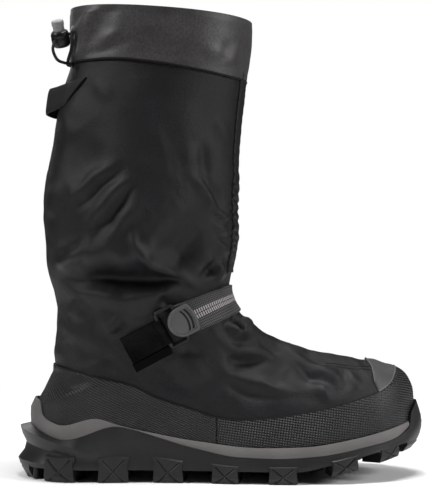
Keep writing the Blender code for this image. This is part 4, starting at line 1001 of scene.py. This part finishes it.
def patch(name, place, size, counts, wall, material, replaces=(), edge=0.7, follow=True,
          relief=None, upright=False):
    """A closed pillow over the skin. place(u, v) gives turn and level, size is its length and
    height in mm for the UV map, and edge the width in mm over which the border drops. The UV
    map's second axis runs across the patch, or straight up where upright is set."""
    (u, raise_u), (v, raise_v) = eased(counts[0], edge / size[0]), eased(counts[1], edge / size[1])
    u_grid, v_grid = np.meshgrid(u, v)
    raised = np.minimum(raise_u[None, :], raise_v[:, None])
    turn, level = place(u_grid, v_grid)
    base = skin(turn, level) if follow else form(turn, level)
    normal = outward(turn, level)
    lift = (wall + GAP + 0.5) * raised - 0.5
    if relief is not None:
        lift = lift + relief(u_grid * size[0], v_grid * size[1]) * (raised > 0.9)
    top = base + lift[..., None] * normal
    under = base - 0.5 * normal
    rows, columns = top.shape[:2]
    faces = grid_faces(rows, columns, False, False)
    points = np.concatenate([top.reshape(-1, 3), under.reshape(-1, 3)])
    both = np.concatenate([faces, faces[:, ::-1] + rows * columns])
    along = np.linalg.norm(np.diff(top[rows // 2], axis=0), axis=1)
    along = np.concatenate([[0], np.cumsum(along)])
    upwards = top[..., 2] if upright else (v_grid - 0.5) * size[1]
    uv = np.stack([np.broadcast_to(along, (rows, columns)), upwards], axis=-1) * MM
    mesh = new_mesh(name, points, both, np.tile(uv.reshape(-1, 2), (2, 1)))
    return add_piece(name, weld(mesh), material, replaces, crisp=50)


# %% [markdown]
# The rand is two panels of rubberised cloth that meet at a seam under the ankle. The rear panel
# runs round the heel, the front one round the toe. Each is spread by an angle measured from the
# middle of its round end, so that the seam comes out upright.

# %% Rubber rand in two panels, and its seam
SEAM_X, SHORT_OF_SEAM = -2.9, 0.999
RAND_FOOT, RUBBER = -0.99, 1.2


def seam_share(level):
    """How far the seam lies along a section, from its back to its front."""
    x_back, _, x_front, _, _, _ = section(np.maximum(level, 0))
    return (SEAM_X - x_back) / (x_front - x_back)


def rand_panel(u, v, front):
    """Turn and level for shares along and up a panel: its lower edge lies in the sole, its
    upper edge on the rand's line."""
    angle = (0.5 - u) * np.pi

    def turn_at(level):
        if front:
            share = 1 - (1 - np.cos(angle)) * (1 - seam_share(level)) * SHORT_OF_SEAM
        else:
            share = (1 - np.cos(angle)) * seam_share(level) * SHORT_OF_SEAM
        turn = np.arccos(1 - 2 * np.clip(share, 0, 1))
        outer = angle < 0 if front else angle > 0
        return np.where(outer, turn, 2 * np.pi - turn)

    top = level_on(turn_at, rand_top)
    level = RAND_FOOT + v * (top - RAND_FOOT)
    return turn_at(level), level


patch("rand_rear", lambda u, v: rand_panel(u, v, False), (330, 30), (210, 50), RUBBER, RAND_REAR,
      ["rand_rear"], upright=True)
patch("rand_front", lambda u, v: rand_panel(u, v, True), (340, 30), (230, 50), RUBBER, RAND_FRONT,
      ["rand_front"], upright=True)
print("rand in two panels that meet at x = %.1f mm" % SEAM_X)

# %% [markdown]
# The toe patch fits between the rand's edge and the vamp, so its two borders are searched for on
# each line of constant turn. A pale bead, a thin tube half sunk in the skin, runs round it. The
# whole rand ends in a dark line, made in the same way: partly its sewn seam, partly painted
# shadow under the fabric's overlapping edge.

# %% Toe patch, its bead and the rand's upper seam with its painted shadow
PATCH_BACK = ((60, 124.5), (69.6, 124.5), (72, 122.3), (86, 121), (91.5, 118.6), (110, 118))


def patch_back(z):
    """The patch's rear edge on the side view, as x for a height."""
    zs, xs = zip(*PATCH_BACK)
    return curve_through(zs, xs, z)


def patch_borders(turn):
    """The levels of the patch's front and rear border at each turn."""
    return level_on(turn, rand_top), level_on(turn, patch_back, upright=True)


TIP_TURN = float(on_side(124.6, 69.3, -1)[0])


def toe_place(u, v):
    """Turn from tip to tip over the toe, level from the front border to the rear one."""
    turn = TIP_TURN + u * (2 * np.pi - 2 * TIP_TURN)
    front, rear = patch_borders(turn)
    return turn, front + v * np.maximum(rear - front, 0.001)


def line_on_skin(name, turn, level, radius, lift, material):
    """A thin round line that follows the skin."""
    path = skin(np.asarray(turn), np.asarray(level), lift)
    return add_piece(name, closed_tube(name, tube_grid(path, radius, 8)), material)


patch("toe_patch", toe_place, (120, 24), (120, 26), RUBBER, TOE_RUBBER,
      ["toe_patch"])
whole = np.linspace(0, 2 * np.pi, 700)
# painted shadow: a dark line along the rand's top, partly its seam, partly the shade under the
# fabric's edge
line_on_skin("rand_edge_seam_and_shadow", whole, level_on(whole, rand_top), 0.65, 0.85, PIPING_AND_SHADOW_LINES)
BEAD = moulded("bead", (0.085, 0.083, 0.083), (0.11, 0.108, 0.108), 0.6, 900, 0.00003, gloss=0.2)
around = np.linspace(TIP_TURN, 2 * np.pi - TIP_TURN, 160)
front_line, rear_line = patch_borders(around)
line_on_skin("toe_bead_front", around, front_line, 0.6, 1.45, BEAD)
line_on_skin("toe_bead_rear", around, rear_line, 0.5, 1.45, BEAD)
print("toe patch with its bead, and the seam along the rand")

# %% [markdown]
# The flap down the shin covers the boot's opening. It is a long patch over the front, a little
# back from the edge on both sides, from the strap up to under the cuff.

# %% Front flap and the vamp's seams
FLAP_DEPTH = 4.2


def flap_place(u, v):
    """Turn from the outer edge round the shin to the inner one; level from strap to cuff."""
    level = 12.9 + v * 6.15
    x_back, _, x_front, _, _, _ = section(level)
    half = np.pi - np.arccos(1 - 2 * (1 - FLAP_DEPTH / (x_front - x_back)))
    return np.pi + (2 * u - 1) * half, level


def flap_relief(a, b):
    """Two hemmed edges, slight waves, and bunched ribs a third of the way up."""
    hem = 0.4 * np.exp(-((np.abs(a - 28) - 25) / 1.2) ** 2)
    bunched = np.exp(-((b - 52) / 20) ** 2)
    return hem + (0.10 + 0.5 * bunched) * np.sin(b * 0.9 + 2 * soft_noise(a, b, 14, 2))


patch("front_flap", flap_place, (56, 158), (60, 150), 1.2, NYLON, ["front_flap"],
      relief=flap_relief)
for side, name in ((-1, "outer"), (1, "inner")):
    for row, drop in enumerate((0.0, 1.9)):
        seam = resample(((84, 91.3 - drop), (105.5, 88.4 - drop), (119.5, 87.4 - drop)), 60)
        turn, level = on_side(seam[:, 0], seam[:, 1], side)
        line_on_skin("vamp_seam_%s_%d" % (name, row), turn, level, 0.32, 0.05, PIPING_AND_SHADOW_LINES)
print("rand, toe patch, flap and seams")

# %% [markdown]
# The sole's walls are the outline pushed outwards, a ring for each ledge of the moulding. A slab
# is such a stack of rings with a floor and a roof, strips that join the outer side to the inner.

# %% Sole rings and slabs
def outline_ring(turn):
    """The outline at each turn, as x and y."""
    x = X_HEEL + (X_TOE - X_HEEL) * (1 - np.cos(turn)) / 2
    return x, half_width(x, turn) + outline_column("centre", x)


def sole_point(turn, outset, z):
    """The outline pushed outwards by outset, square to its own direction, at height z."""
    x, y = outline_ring(turn)
    small = 0.02
    x_1, y_1 = outline_ring(turn - small)
    x_2, y_2 = outline_ring(turn + small)
    along = np.hypot(x_2 - x_1, y_2 - y_1)
    return np.stack([x + outset * (y_2 - y_1) / along, y - outset * (x_2 - x_1) / along,
                     z + 0 * x], axis=-1)


def tread_ring(turn, outset, lift):
    """A ring above the sole between the lugs, whose height depends on x alone."""
    ring = sole_point(turn, outset, 0)
    ring[..., 2] = height("lug_foot", ring[..., 0]) + height("lug_height", ring[..., 0]) + lift
    return ring


def slab(name, rings, across):
    """A closed body of rings. Its floor and roof run from each point to the one opposite."""
    rings = np.stack(rings)
    rows, columns = rings.shape[:2]
    points, faces = [rings.reshape(-1, 3)], [grid_faces(rows, columns, False, True)]
    share = np.linspace(0, 1, across)[:, None, None]
    half = np.arange(columns // 2 + 1)
    start = rows * columns
    for ring, upwards in ((rings[0], False), (rings[-1], True)):
        strip = ring[half] * (1 - share) + ring[-half % columns] * share
        corners = grid_faces(across, len(half), False, False) + start
        points.append(strip.reshape(-1, 3))
        faces.append(corners if upwards else corners[:, ::-1])
        start += strip.shape[0] * strip.shape[1]
    return weld(new_mesh(name, np.concatenate(points), np.concatenate(faces)))


# %% [markdown]
# The outsole is a dark tray with fins at the heel and a bumper at the toe. Each ledge has its own
# distance out and its own height, and both change along the boot. A Bevel rounds the moulded
# edges, so they catch the light.

# %% Outsole tray
WALL = {
    "x":     (-149, -125, -98, -59, -16, 42, 85, 113, 143, 156.8),
    "out_0": (13.8, 8.5, 6.0, 5.6, 5.8, 6.6, 6.4, 6.0, 5.2, 4.2),
    "z_1":   (14.0, 13.0, 12.0, 14.0, 12.0, 11.0, 16.0, 22.4, 29.0, 33.0),
    "out_1": (15.2, 9.5, 6.2, 5.5, 5.6, 6.4, 6.2, 5.8, 5.2, 5.9),
    "z_2":   (20.5, 18.0, 15.0, 19.0, 15.0, 12.5, 17.0, 23.3, 30.0, 38.0),
    "out_2": (10.3, 7.0, 5.6, 5.0, 5.3, 6.2, 6.0, 5.6, 5.0, 7.2),
    "z_3":   (27.0, 22.0, 18.0, 23.0, 17.5, 14.0, 18.0, 24.2, 31.0, 43.0),
    "out_3": (8.7, 6.0, 5.2, 4.6, 5.0, 5.9, 5.7, 5.4, 4.9, 7.4),
    "z_4":   (33.6, 26.0, 20.0, 28.0, 20.0, 15.5, 19.0, 25.1, 32.0, 48.0),
    "out_4": (12.0, 7.5, 5.4, 4.3, 4.8, 5.6, 5.4, 5.2, 4.8, 6.6),
    "z_5":   (39.5, 30.0, 22.5, 33.0, 22.5, 17.0, 20.0, 26.2, 33.2, 53.0),
    "out_5": (13.6, 8.6, 5.8, 4.0, 4.5, 5.3, 5.2, 5.0, 4.6, 5.2),
    "out_6": (5.2, 4.4, 3.6, 3.6, 4.2, 5.0, 5.0, 4.8, 4.4, 2.9),
}
SOLE_COLUMNS, ROOF_STRIPS = 400, 12
CUP_INSIDE, BEVEL_DROP, SOLE_FLOOR = 2.1, 2.2, 3.0
turn = np.arange(SOLE_COLUMNS) * 2 * np.pi / SOLE_COLUMNS
x_ring, _ = outline_ring(turn)
column = {key: curve_through(WALL["x"], WALL[key], x_ring) for key in WALL if key != "x"}
wall_top = height("grey_edge", x_ring) + height("bumper", x_ring)
rings = [tread_ring(turn, column["out_0"], 0)]
rings += [sole_point(turn, column["out_%d" % i], np.minimum(column["z_%d" % i], wall_top - 0.3 * (
    6 - i))) for i in range(1, 6)]
rings += [sole_point(turn, column["out_6"], wall_top),
          sole_point(turn, CUP_INSIDE, wall_top - BEVEL_DROP),
          tread_ring(turn, CUP_INSIDE, SOLE_FLOOR)]
outsole = add_piece("outsole", slab("outsole", rings, ROOF_STRIPS), DARK_RUBBER,
                    ["outsole"], crisp=30)
round_edges(outsole, 0.45, 30)
print("outsole tray,", len(rings), "rings of", SOLE_COLUMNS, "points")

# %% [markdown]
# Each side lug is a block under the sole whose panel climbs the wall, with an X of thin sipes cut
# into it. The panel is a grid, and the sipes are a depth on it: the distance to two crossing lines.

# %% Side lugs with sipes, end lugs and centre lugs
SIDE_LUGS = ((-122.0, 19, 0.50), (-84.0, 24, 0.36), (-40.6, 24, 0.46), (4.2, 21, 0.52),
             (48.7, 22, 0.55), (95.5, 20, 0.60), (129.8, 15, 0.60))
LUG_INWARDS, END_LUG_INWARDS, LUG_FLUSH = 21.0, 13.0, 3.3
SIPE_DEPTH, SIPE_WIDTH = 1.0, 0.42


def foot_and_tread(points):
    """The ground line and the sole above it, at the x of each point."""
    foot = height("lug_foot", points[..., 0])
    return foot, foot + height("lug_height", points[..., 0])


def profile_grid(turn, corners, counts):
    """Rings round a lug: each stretch between two corners (outset, z), cut into counts steps."""
    stretches = []
    for (a, b), count in zip(zip(corners, corners[1:] + corners[:1]), counts):
        share = np.arange(count)[:, None] / count
        stretches.append((a[0] + (b[0] - a[0]) * share, a[1] + (b[1] - a[1]) * share))
    outset = np.concatenate([s[0] for s in stretches])
    z = np.concatenate([s[1] for s in stretches])
    return np.broadcast_to(turn, z.shape).copy(), outset, z


def side_lug(name, middle, width, climb, side):
    """A block and its panel. The panel narrows by an eighth on its way up, and the sipes are
    SIPE_DEPTH times exp(-(distance / SIPE_WIDTH)²) deep."""
    first, last = outline_turn((middle - width / 2, middle + width / 2))
    steps = np.linspace(first, last, 41)
    if side > 0:
        steps = 2 * np.pi - steps[::-1]
    foot, tread = foot_and_tread(sole_point(steps, 0, 0))
    inner_foot, inner_tread = foot_and_tread(sole_point(steps, -LUG_INWARDS, 0))
    x, _ = outline_ring(steps)
    wall = curve_through(WALL["x"], WALL["out_1"], x)
    top = tread + climb * (height("grey_edge", x) - tread)
    inwards = np.full_like(wall, -LUG_INWARDS)
    flush = np.full_like(wall, LUG_FLUSH)
    corners = [(inwards, inner_foot), (wall - 0.4, foot), (wall + 1.2, foot + 4),
               (wall + 0.9, top - 2), (flush, top), (flush, tread + 1),
               (inwards, inner_tread + 1)]
    turn_grid, outset, z = profile_grid(steps, corners, (2, 6, 30, 4, 2, 2, 2))
    panel = slice(2, 39)
    up = (z[panel] - z[panel][0]) / (z[panel][-1] - z[panel][0])
    across = np.linspace(-1, 1, len(steps))[None, :] + 0 * up
    reach = width / 2
    one = np.abs(across * 0.62 + (up - 0.42)) * reach * 0.75
    two = np.abs(across * 0.62 - (up - 0.42)) * reach * 0.75
    inside = (np.abs(across) < 0.86) & (up > 0.02) & (up < 0.9)
    outset[panel] -= SIPE_DEPTH * np.exp(-(np.minimum(one, two) / SIPE_WIDTH) ** 2) * inside
    middle_turn = steps.mean()
    turn_grid[panel] = middle_turn + (turn_grid[panel] - middle_turn) * (1 - 0.12 * up)
    points = sole_point(turn_grid, outset, z)
    return closed_tube(name, points.transpose(1, 0, 2))


def block(name, outline, low, high):
    """An upright block: an outline in x and y between two heights at each of its points."""
    x, y = outline
    ring = np.stack([np.stack([x, y, low], -1), np.stack([x, y, high], -1)])
    centre = ring.mean(axis=1, keepdims=True).repeat(len(x), 1)
    grid = np.concatenate([centre[:1], ring, centre[1:]])
    return weld(new_mesh(name, grid.reshape(-1, 3), grid_faces(4, len(x), False, True)))


for number, (middle, width, climb) in enumerate(SIDE_LUGS):
    for side, label in ((-1, "outer"), (1, "inner")):
        name = "lug_%s_%d" % (label, number + 1)
        add_piece(name, side_lug(name, middle, width, climb, side), DARK_RUBBER,
                  crisp=35)
for name, centre, reach, low_out, high_out in (
        ("lug_heel", 0.0, float(outline_turn(-141.5)), 8.5, 12.6),
        ("lug_toe", math.pi, math.pi - float(outline_turn(146.5)), -1.0, 3.4)):
    steps = np.linspace(centre - reach, centre + reach, 25)
    foot, tread = foot_and_tread(sole_point(steps, 0, 0))
    inner_foot, inner_tread = foot_and_tread(sole_point(steps, -END_LUG_INWARDS, 0))
    flat = np.zeros_like(foot)
    corners = [(flat - END_LUG_INWARDS, inner_foot), (flat + low_out, foot),
               (flat + high_out, tread - 2.5), (flat + high_out, tread + 1),
               (flat - END_LUG_INWARDS, inner_tread + 1)]
    turn_grid, outset, z = profile_grid(steps, corners, (2, 2, 2, 2, 2))
    points = sole_point(turn_grid, outset, z)
    add_piece(name, closed_tube(name, points.transpose(1, 0, 2)), DARK_RUBBER,
              crisp=35)
for number, x in enumerate((-122, -82, -41, 0, 41, 78, 108)):
    name = "lug_centre_%d" % (number + 1)
    a = np.array((-1, -0.45, 0.45, 1, 1, 0.45, -0.45, -1)) * 10.5 + x
    b = np.array((-0.55, -1, -1, -0.55, 0.55, 1, 1, 0.55)) * 15 + outline_column("centre", x)
    low = height("lug_foot", a)
    lug = add_piece(name, block(name, (a, b), low, low + height("lug_height", a) + 1), DARK_RUBBER,
                    crisp=30)
    round_edges(lug, 0.8, 30)
for number, turn_at in enumerate((0.20, 0.34, -0.20, -0.34)):
    name = "heel_stud_%d" % (number + 1)
    centre = sole_point(np.array(turn_at), 7.5, 0.0)
    steps = np.linspace(0, 2 * np.pi, 13)[:-1]
    around_stud = (centre[0] + 2.6 * np.cos(steps), centre[1] + 2.6 * np.sin(steps))
    add_piece(name, block(name, around_stud, 0 * steps + 0.4, 0 * steps + 14.0), DARK_RUBBER,
              crisp=35)
print("outsole with", 2 * len(SIDE_LUGS) + 9, "lugs and four heel studs")

# %% [markdown]
# The grey midsole sits in the dark tray and comes out over its edge. It is a clip at the heel, a
# thin line at the waist and a broad band at the forefoot. The insole inside is a thin felt.

# %% Midsole and insole
GREY_FACE = {
    "x":   (-149, -122, -89, -81, -72.5, -64, -54, -16, 42, 113, 136, 149, 156.8),
    "low": (5.0, 4.0, 3.2, 2.0, 1.8, 2.0, 3.0, 3.8, 4.6, 4.4, 4.0, 3.0, 1.8),
    "mid": (5.2, 4.2, 3.2, 2.0, 1.75, 2.0, 3.0, 4.1, 4.8, 4.5, 3.9, 2.9, 1.75),
    "top": (1.7, 1.8, 1.8, 1.7, 1.7, 1.7, 1.8, 2.4, 3.0, 2.8, 2.4, 2.0, 1.7),
}
face = {key: curve_through(GREY_FACE["x"], GREY_FACE[key], x_ring) for key in
        ("low", "mid", "top")}
edge = height("grey_edge", x_ring) + 0.3
feather = height("feather", x_ring)
rings = [tread_ring(turn, 1.8, SOLE_FLOOR + 0.5), sole_point(turn, 1.8, edge - 1.9),
         sole_point(turn, face["low"], edge), sole_point(turn, face["mid"] + 0.2,
                                                         edge * 0.7 + feather * 0.3),
         sole_point(turn, face["mid"], edge * 0.35 + feather * 0.65),
         sole_point(turn, face["top"], feather + 0.5), sole_point(turn, 0.35, feather + 0.3),
         sole_point(turn, 0.35, height("footbed", x_ring) - 0.3)]
midsole = add_piece("midsole", slab("midsole", rings, ROOF_STRIPS), GREY_FOAM,
                    ["midsole"], crisp=45)
round_edges(midsole, 0.4, 40)
bed = height("footbed", x_ring)
add_piece("insole", slab("insole", [
    sole_point(turn, -2.6, bed), sole_point(turn, -2.6, bed + 2.4),
    sole_point(turn, -3.4, bed + 3)], ROOF_STRIPS), FELT, ["insole"])
print("midsole and insole")


# %% [markdown]
# The instep strap starts under the buckle, runs over the front and is sewn down on the inner
# side. Its hardware lies in a frame of its own: along the strap, across it, and off the boot.

# %% Instep strap, hook-and-loop tab and bar
STRAP_MIDDLE, STRAP_ANGLE = (-38.5, 122.2), math.radians(28)
WEBBING = 1.7


def strap_corner(along, across):
    """A place in the strap's line, as x and z seen from the side."""
    c, s = math.cos(STRAP_ANGLE), math.sin(STRAP_ANGLE)
    return STRAP_MIDDLE[0] + along * c - across * s, STRAP_MIDDLE[1] + along * s + across * c


def strap_place(u, v):
    """Turn and level on the strap: u from the buckle to the sewn end, v from edge to edge."""
    ends = [on_side(np.array(x), np.array(z), side)[0] for x, z, side in (
        ((-25.6, -37.3), (114.9, 137.5), -1), ((-66, -75), (101, 121), 1))]
    first = ends[0][0] + (ends[0][1] - ends[0][0]) * v
    last = ends[1][0] + (ends[1][1] - ends[1][0]) * v
    turn = first + (last - first) * u
    inner = smooth(np.pi - 0.3, np.pi + 0.3, turn)
    low = level_on(turn, lambda x: strap_edges(x, inner)[0])
    high = level_on(turn, lambda x: strap_edges(x, inner)[1])
    return turn, low + (high - low) * v


def buckle_rise(a, b):
    """The strap rises to the buckle over its first 20 mm."""
    return 2.2 * (1 - smooth(4, 24, a))


patch("instep_strap", strap_place, (232, 23.5), (170, 14), WEBBING, STRAP_WEB,
      ["instep_strap"], edge=0.5, follow=False, relief=buckle_rise)


def label_place(along, across):
    """A function that lays the unit square over a rectangle in the strap's frame."""
    def place(u, v):
        return on_side(*strap_corner(along[0] + (along[1] - along[0]) * u,
                                     across[0] + (across[1] - across[0]) * v), -1)
    return place


def ring_roll(a, b):
    """The tab's end rolls over the ring's wire, a soft ridge across it, and its pile is rough."""
    return 2.6 * np.exp(-((a - 33.6) / 2.2) ** 2) + 0.22 * soft_noise(a, b, 1.3, 5)


patch("anchor_tab", label_place((-40.5, -4.6), (-12, 9.8)), (35.9, 21.8), (90, 60), 2.0, FUZZ,
      ["anchor_tab"], edge=0.5, follow=False, relief=ring_roll)
patch("anchor_bar", label_place((-41.5, -9), (-19.6, -12.4)), (32.5, 7.2), (40, 12), 1.2, BAR_PLASTIC,
      ["anchor_bar"], edge=0.5, follow=False)
print("strap at %.0f degrees, its tab and bar" % math.degrees(STRAP_ANGLE))

# %% [markdown]
# Ring and buckle. The ring is round wire bent to a rectangle. The buckle is a plate with two bowed
# slots, cut with a Boolean on the mesh, so no cutter stays in the scene, and rounded by a Bevel.
# Dark floors lie in the slots as painted shade, and a thin raised rim, a tube along the plate's
# outline, frames it.

# %% Ring and buckle
def strap_frame(lift):
    """Axes for the strap's hardware, at a height off the boot."""
    turn, level = on_side(*(np.array([c]) for c in STRAP_MIDDLE), -1)
    off = Vector(outward(turn, level)[0])
    along = Vector((math.cos(STRAP_ANGLE), 0, math.sin(STRAP_ANGLE)))
    along = (along - along.dot(off) * off).normalized()
    return axes_at(along, off, Vector(form(turn, level)[0]) + lift * off)


def placed(points, axes):
    """Points in a frame, in the boot's millimetres."""
    turned = np.array(axes.to_3x3())
    return np.asarray(points, float) @ turned.T + np.array(axes.translation)


def carved(mesh, cutters):
    """The mesh with each cutter's volume taken away."""
    body = bpy.data.objects.new("body", mesh)
    scene.collection.objects.link(body)
    helpers = [bpy.data.objects.new("cutter", cutter) for cutter in cutters]
    for helper in helpers:
        scene.collection.objects.link(helper)
        add_modifier(body, "BOOLEAN", operation="DIFFERENCE", object=helper)
    bpy.context.view_layer.update()
    graph = bpy.context.evaluated_depsgraph_get()
    result = bpy.data.meshes.new_from_object(body.evaluated_get(graph))
    for helper in [body] + helpers:
        bpy.data.objects.remove(helper)
    return result


def prism(name, outline, low, high, axes):
    """A flat outline between two heights, standing in a frame."""
    count = len(outline)
    base = np.asarray(outline, float)
    points = np.concatenate([np.column_stack([base, np.full(count, z)]) for z in (low, high)])
    i = np.arange(count)
    sides = np.stack([i, (i + 1) % count, (i + 1) % count + count, i + count], axis=1)
    faces = [tuple(i[::-1]), tuple(i + count)] + sides.tolist()
    mesh = bpy.data.meshes.new(name)
    mesh.from_pydata((placed(points, axes) * MM).tolist(), [], faces)
    return weld(mesh)


half_long, half_wide, corner = 7.4, 15.1, 2.0
angle = np.linspace(0, 2 * np.pi, 65)[:-1]
path = np.stack([np.sign(np.cos(angle + 0.01)) * (half_long - corner) + corner * np.cos(angle),
                 np.sign(np.sin(angle + 0.01)) * (half_wide - corner) + corner * np.sin(angle),
                 0 * angle], axis=-1)
ring_grid = tube_grid(placed(np.concatenate([path, path[:1]]), strap_frame(2.6)), 1.4, 12,
                      across=tuple(strap_frame(0).to_3x3().col[2]))[:-1]
add_piece("strap_ring", joined_tube("strap_ring", ring_grid), BLACK,
          ["strap_ring"])

length, radius, thick, start = 22.8, 11.6, 3.0, -2.2
end = start + length
bend = np.linspace(np.pi / 2, 3 * np.pi / 2, 33)
bow_at = np.linspace(-1, 1, 11)
outline = list(zip(end - 1.4 * bow_at ** 2, (radius - 1.6) * bow_at))
outline += [(end - 2.2, radius - 0.4), (end - 3.4, radius)]
outline += list(zip(start + radius + radius * np.cos(bend), radius * np.sin(bend)))
outline += [(end - 3.4, -radius), (end - 2.2, -radius + 0.4)]
axes = strap_frame(4.4)
SLOTS = ((4.6, 2.0), (7.8, 2.2))


def slot_outline(inset, bow, half, width):
    """A slot: a line bowed by bow times t², and the same line moved along by the width."""
    t = np.linspace(-1, 1, 15)
    near = np.stack([end - inset - bow * t * t, half * t], axis=-1)
    return np.concatenate([near[::-1], near + (width, 0)])


slots = [prism("slot", slot_outline(*slot, 8.6, 1.7), 0.5, thick + 2, axes) for slot in SLOTS]
plate = carved(prism("strap_buckle", outline, 0, thick, axes), slots)
buckle = add_piece("strap_buckle", plate, BUCKLE_GREY, ["strap_buckle"], crisp=25)
round_edges(buckle, 0.25, 40)
# painted shade: black floors in the slots, where shade falls inside them
for number, slot in enumerate(SLOTS):
    add_piece("slot_floor_%d" % (number + 1), prism("slot_shade_floor", slot_outline(
        *slot, 8.5, 1.6), 0.3, 1.0, axes), BLACK)

rim_path = (np.array(outline + outline[:1]) - (10, 0)) * 0.93 + (10, 0)
rim_line = resample(np.column_stack([rim_path, np.full(len(rim_path), thick)]), 121)
rim_grid = tube_grid(placed(rim_line, axes), 1.0, 10, across=tuple(axes.to_3x3().col[2]))[:-1]
add_piece("buckle_rim", joined_tube("buckle_rim", rim_grid), BUCKLE_GREY)
print("ring, and a buckle with", len(SLOTS), "slots")

# %% [markdown]
# The pull tab is webbing sewn to the shaft on both sides and standing off it round the back. Its
# ends are cut slanting: the upper edge reaches further round than the lower one. Its underside
# and the side facing the shaft are painted shade, a near black copy of its webbing.

# %% Pull tab
TAB_WALL, TAB_PROUD = 1.6, (11.5, 14.0)


def pull_tab_line(share, count=50):
    """The tab's inner line from its end on the shaft round to the back, at a share of its width."""
    z, end_turn = 296.5 + 20.5 * share, 0.50 + 0.28 * share
    on_shaft = [leg_at(turn, z, GAP + 0.35)[0] for turn in np.linspace(end_turn, 0.42, 4)]
    back = leg_at(0.0, z, 0.0)[0]
    proud = TAB_PROUD[0] + (TAB_PROUD[1] - TAB_PROUD[0]) * share
    free = [back + np.array((x * proud / TAB_PROUD[0], y, 0)) for x, y in
            ((-3.4, -14.5), (-9.2, -6.5))]
    line = resample(on_shaft + free + [back + np.array((TAB_WALL - proud, 0, 0))], count)
    line[:, 2] -= 5.5 * np.linspace(0, 1, count)
    return line


share = np.linspace(0, 1, 13)
half = np.stack([pull_tab_line(s) for s in share])
far = half[:, -2::-1] * np.array((1, -1, 1))
far[..., 2] -= 4.0 * smooth(0, 22, np.arange(far.shape[1]))
inner = np.concatenate([half, far], axis=1)
run = np.gradient(inner, axis=1)
off = np.stack([run[..., 1], -run[..., 0], 0 * run[..., 0]], axis=-1)
off /= -np.linalg.norm(off, axis=-1, keepdims=True)
rounded = 1 - 0.35 * np.abs(2 * share - 1) ** 6
outer = inner + TAB_WALL * rounded[:, None, None] * off
section_grid = np.concatenate([outer, inner[::-1]]).transpose(1, 0, 2)
along = np.concatenate([[0], np.cumsum(np.linalg.norm(np.diff(inner[6], axis=0), axis=1))])
width_uv = np.concatenate([share, share[::-1]]) * 21 - 10.5
uv = np.stack(np.meshgrid(width_uv, along)[::-1], axis=-1) * MM
tab_mesh = closed_tube("pull_tab", section_grid)
add_piece("pull_tab", tab_mesh, TAB_WEB, ["pull_tab"], crisp=50)
tab_mesh.materials.append(SHADED_TAB_WEB)
middles = np.zeros((len(tab_mesh.polygons), 3), np.float32)
normals = middles.copy()
tab_mesh.polygons.foreach_get("center", middles.ravel())
tab_mesh.polygons.foreach_get("normal", normals.ravel())
# painted shade: faces turned down, and faces at the back turned towards the shaft, get the near black
# copy
painted_shade_faces = (normals[:, 2] < -0.5) | ((normals[:, 0] > 0.15) & (np.abs(middles[:, 1]) < 0.03))
tab_mesh.polygons.foreach_set("material_index", painted_shade_faces.astype(np.int32))
print("strap, tab, ring, buckle and pull tab")

# %% [markdown]
# The cord lock. Barrel and button are turned, a profile carried round the lock's axis, and the
# cord hole is carved through both. The button rides a body of its own, so it can be pressed.

# %% Cord lock and eyelet
TURNED_STEPS = 48


def turned(name, profile, axes):
    """A profile in radius and height, turned round a frame's third axis."""
    radius, height_up = np.array(profile, float).T
    angle = np.arange(TURNED_STEPS) * 2 * np.pi / TURNED_STEPS
    points = np.stack([radius * np.cos(angle)[:, None], radius * np.sin(angle)[:, None],
                       height_up + 0 * angle[:, None]], axis=-1)
    grid = placed(points.reshape(-1, 3), axes).reshape(points.shape)
    closed = bool(radius.min() > 0)
    faces = grid_faces(TURNED_STEPS, len(radius), True, closed)
    return weld(new_mesh(name, grid.reshape(-1, 3), faces))


def cord_hole(low, high, width):
    """A cutter along the cord hole, round, or a slot where high is above low."""
    angle = np.linspace(0, 2 * np.pi, 29)[:-1]
    shape = np.stack([width * np.cos(angle), np.where(np.sin(angle) > 0, high, low)
                      + width * np.sin(angle)], axis=-1)
    axes = lock_frame()
    turned_frame = axes @ Matrix(((0, 0, 1, 0), (1, 0, 0, 0), (0, 1, 0, 0), (0, 0, 0, 1)))
    return prism("hole", shape, -12, 12, turned_frame)


barrel_profile = ((0, -5.05), (4.95, -5.05), (4.95, 6.0), (5.2, 6.35), (5.6, 6.5), (6.2, 6.2),
                  (6.7, 5.5), (7.1, 4.4), (7.4, 3.2), (7.15, 2.4), (7.4, 1.6), (7.4, -2.6),
                  (7.0, -4.2), (6.4, -5.4), (5.6, -6.2), (4.6, -6.5), (0, -6.5))
barrel = carved(turned("lock_barrel", barrel_profile, lock_frame()), [cord_hole(0.5, 0.5, 1.58)])
add_piece("lock_barrel", barrel, BLACK, ["lock_barrel"], crisp=35)
button_profile = ((0, 15.1), (3.6, 15.1), (4.3, 14.95), (4.75, 14.5), (4.9, 13.9), (4.9, 11.6),
                  (4.75, 10.9), (4.5, 10.6), (4.5, -1.9), (4.4, -2.15), (4.1, -2.25), (0, -2.25))
button = carved(turned("lock_button", button_profile, lock_frame()), [cord_hole(0.5, 3.0, 1.6)])
add_piece("lock_button", button, PALE_BUTTON, ["lock_button"],
          body="lock_button", crisp=35)

rim_angle = np.linspace(0, 2 * np.pi, 17)[:-1]
eyelet_profile = list(zip(4.5 + np.cos(rim_angle), 0.7 + 0.6 * np.sin(rim_angle)))
point, normal = leg_at(0.362, EYELET_HEIGHT, 2 * GAP + CUFF_WALL)
off = Vector(normal)
side = Vector((0, 0, 1)).cross(off).normalized()
axes = axes_at(side, off, Vector(point))
add_piece("cord_eyelet", turned("cord_eyelet", eyelet_profile, axes), STEEL,
          ["cord_eyelet"])
print("cord lock and eyelet")
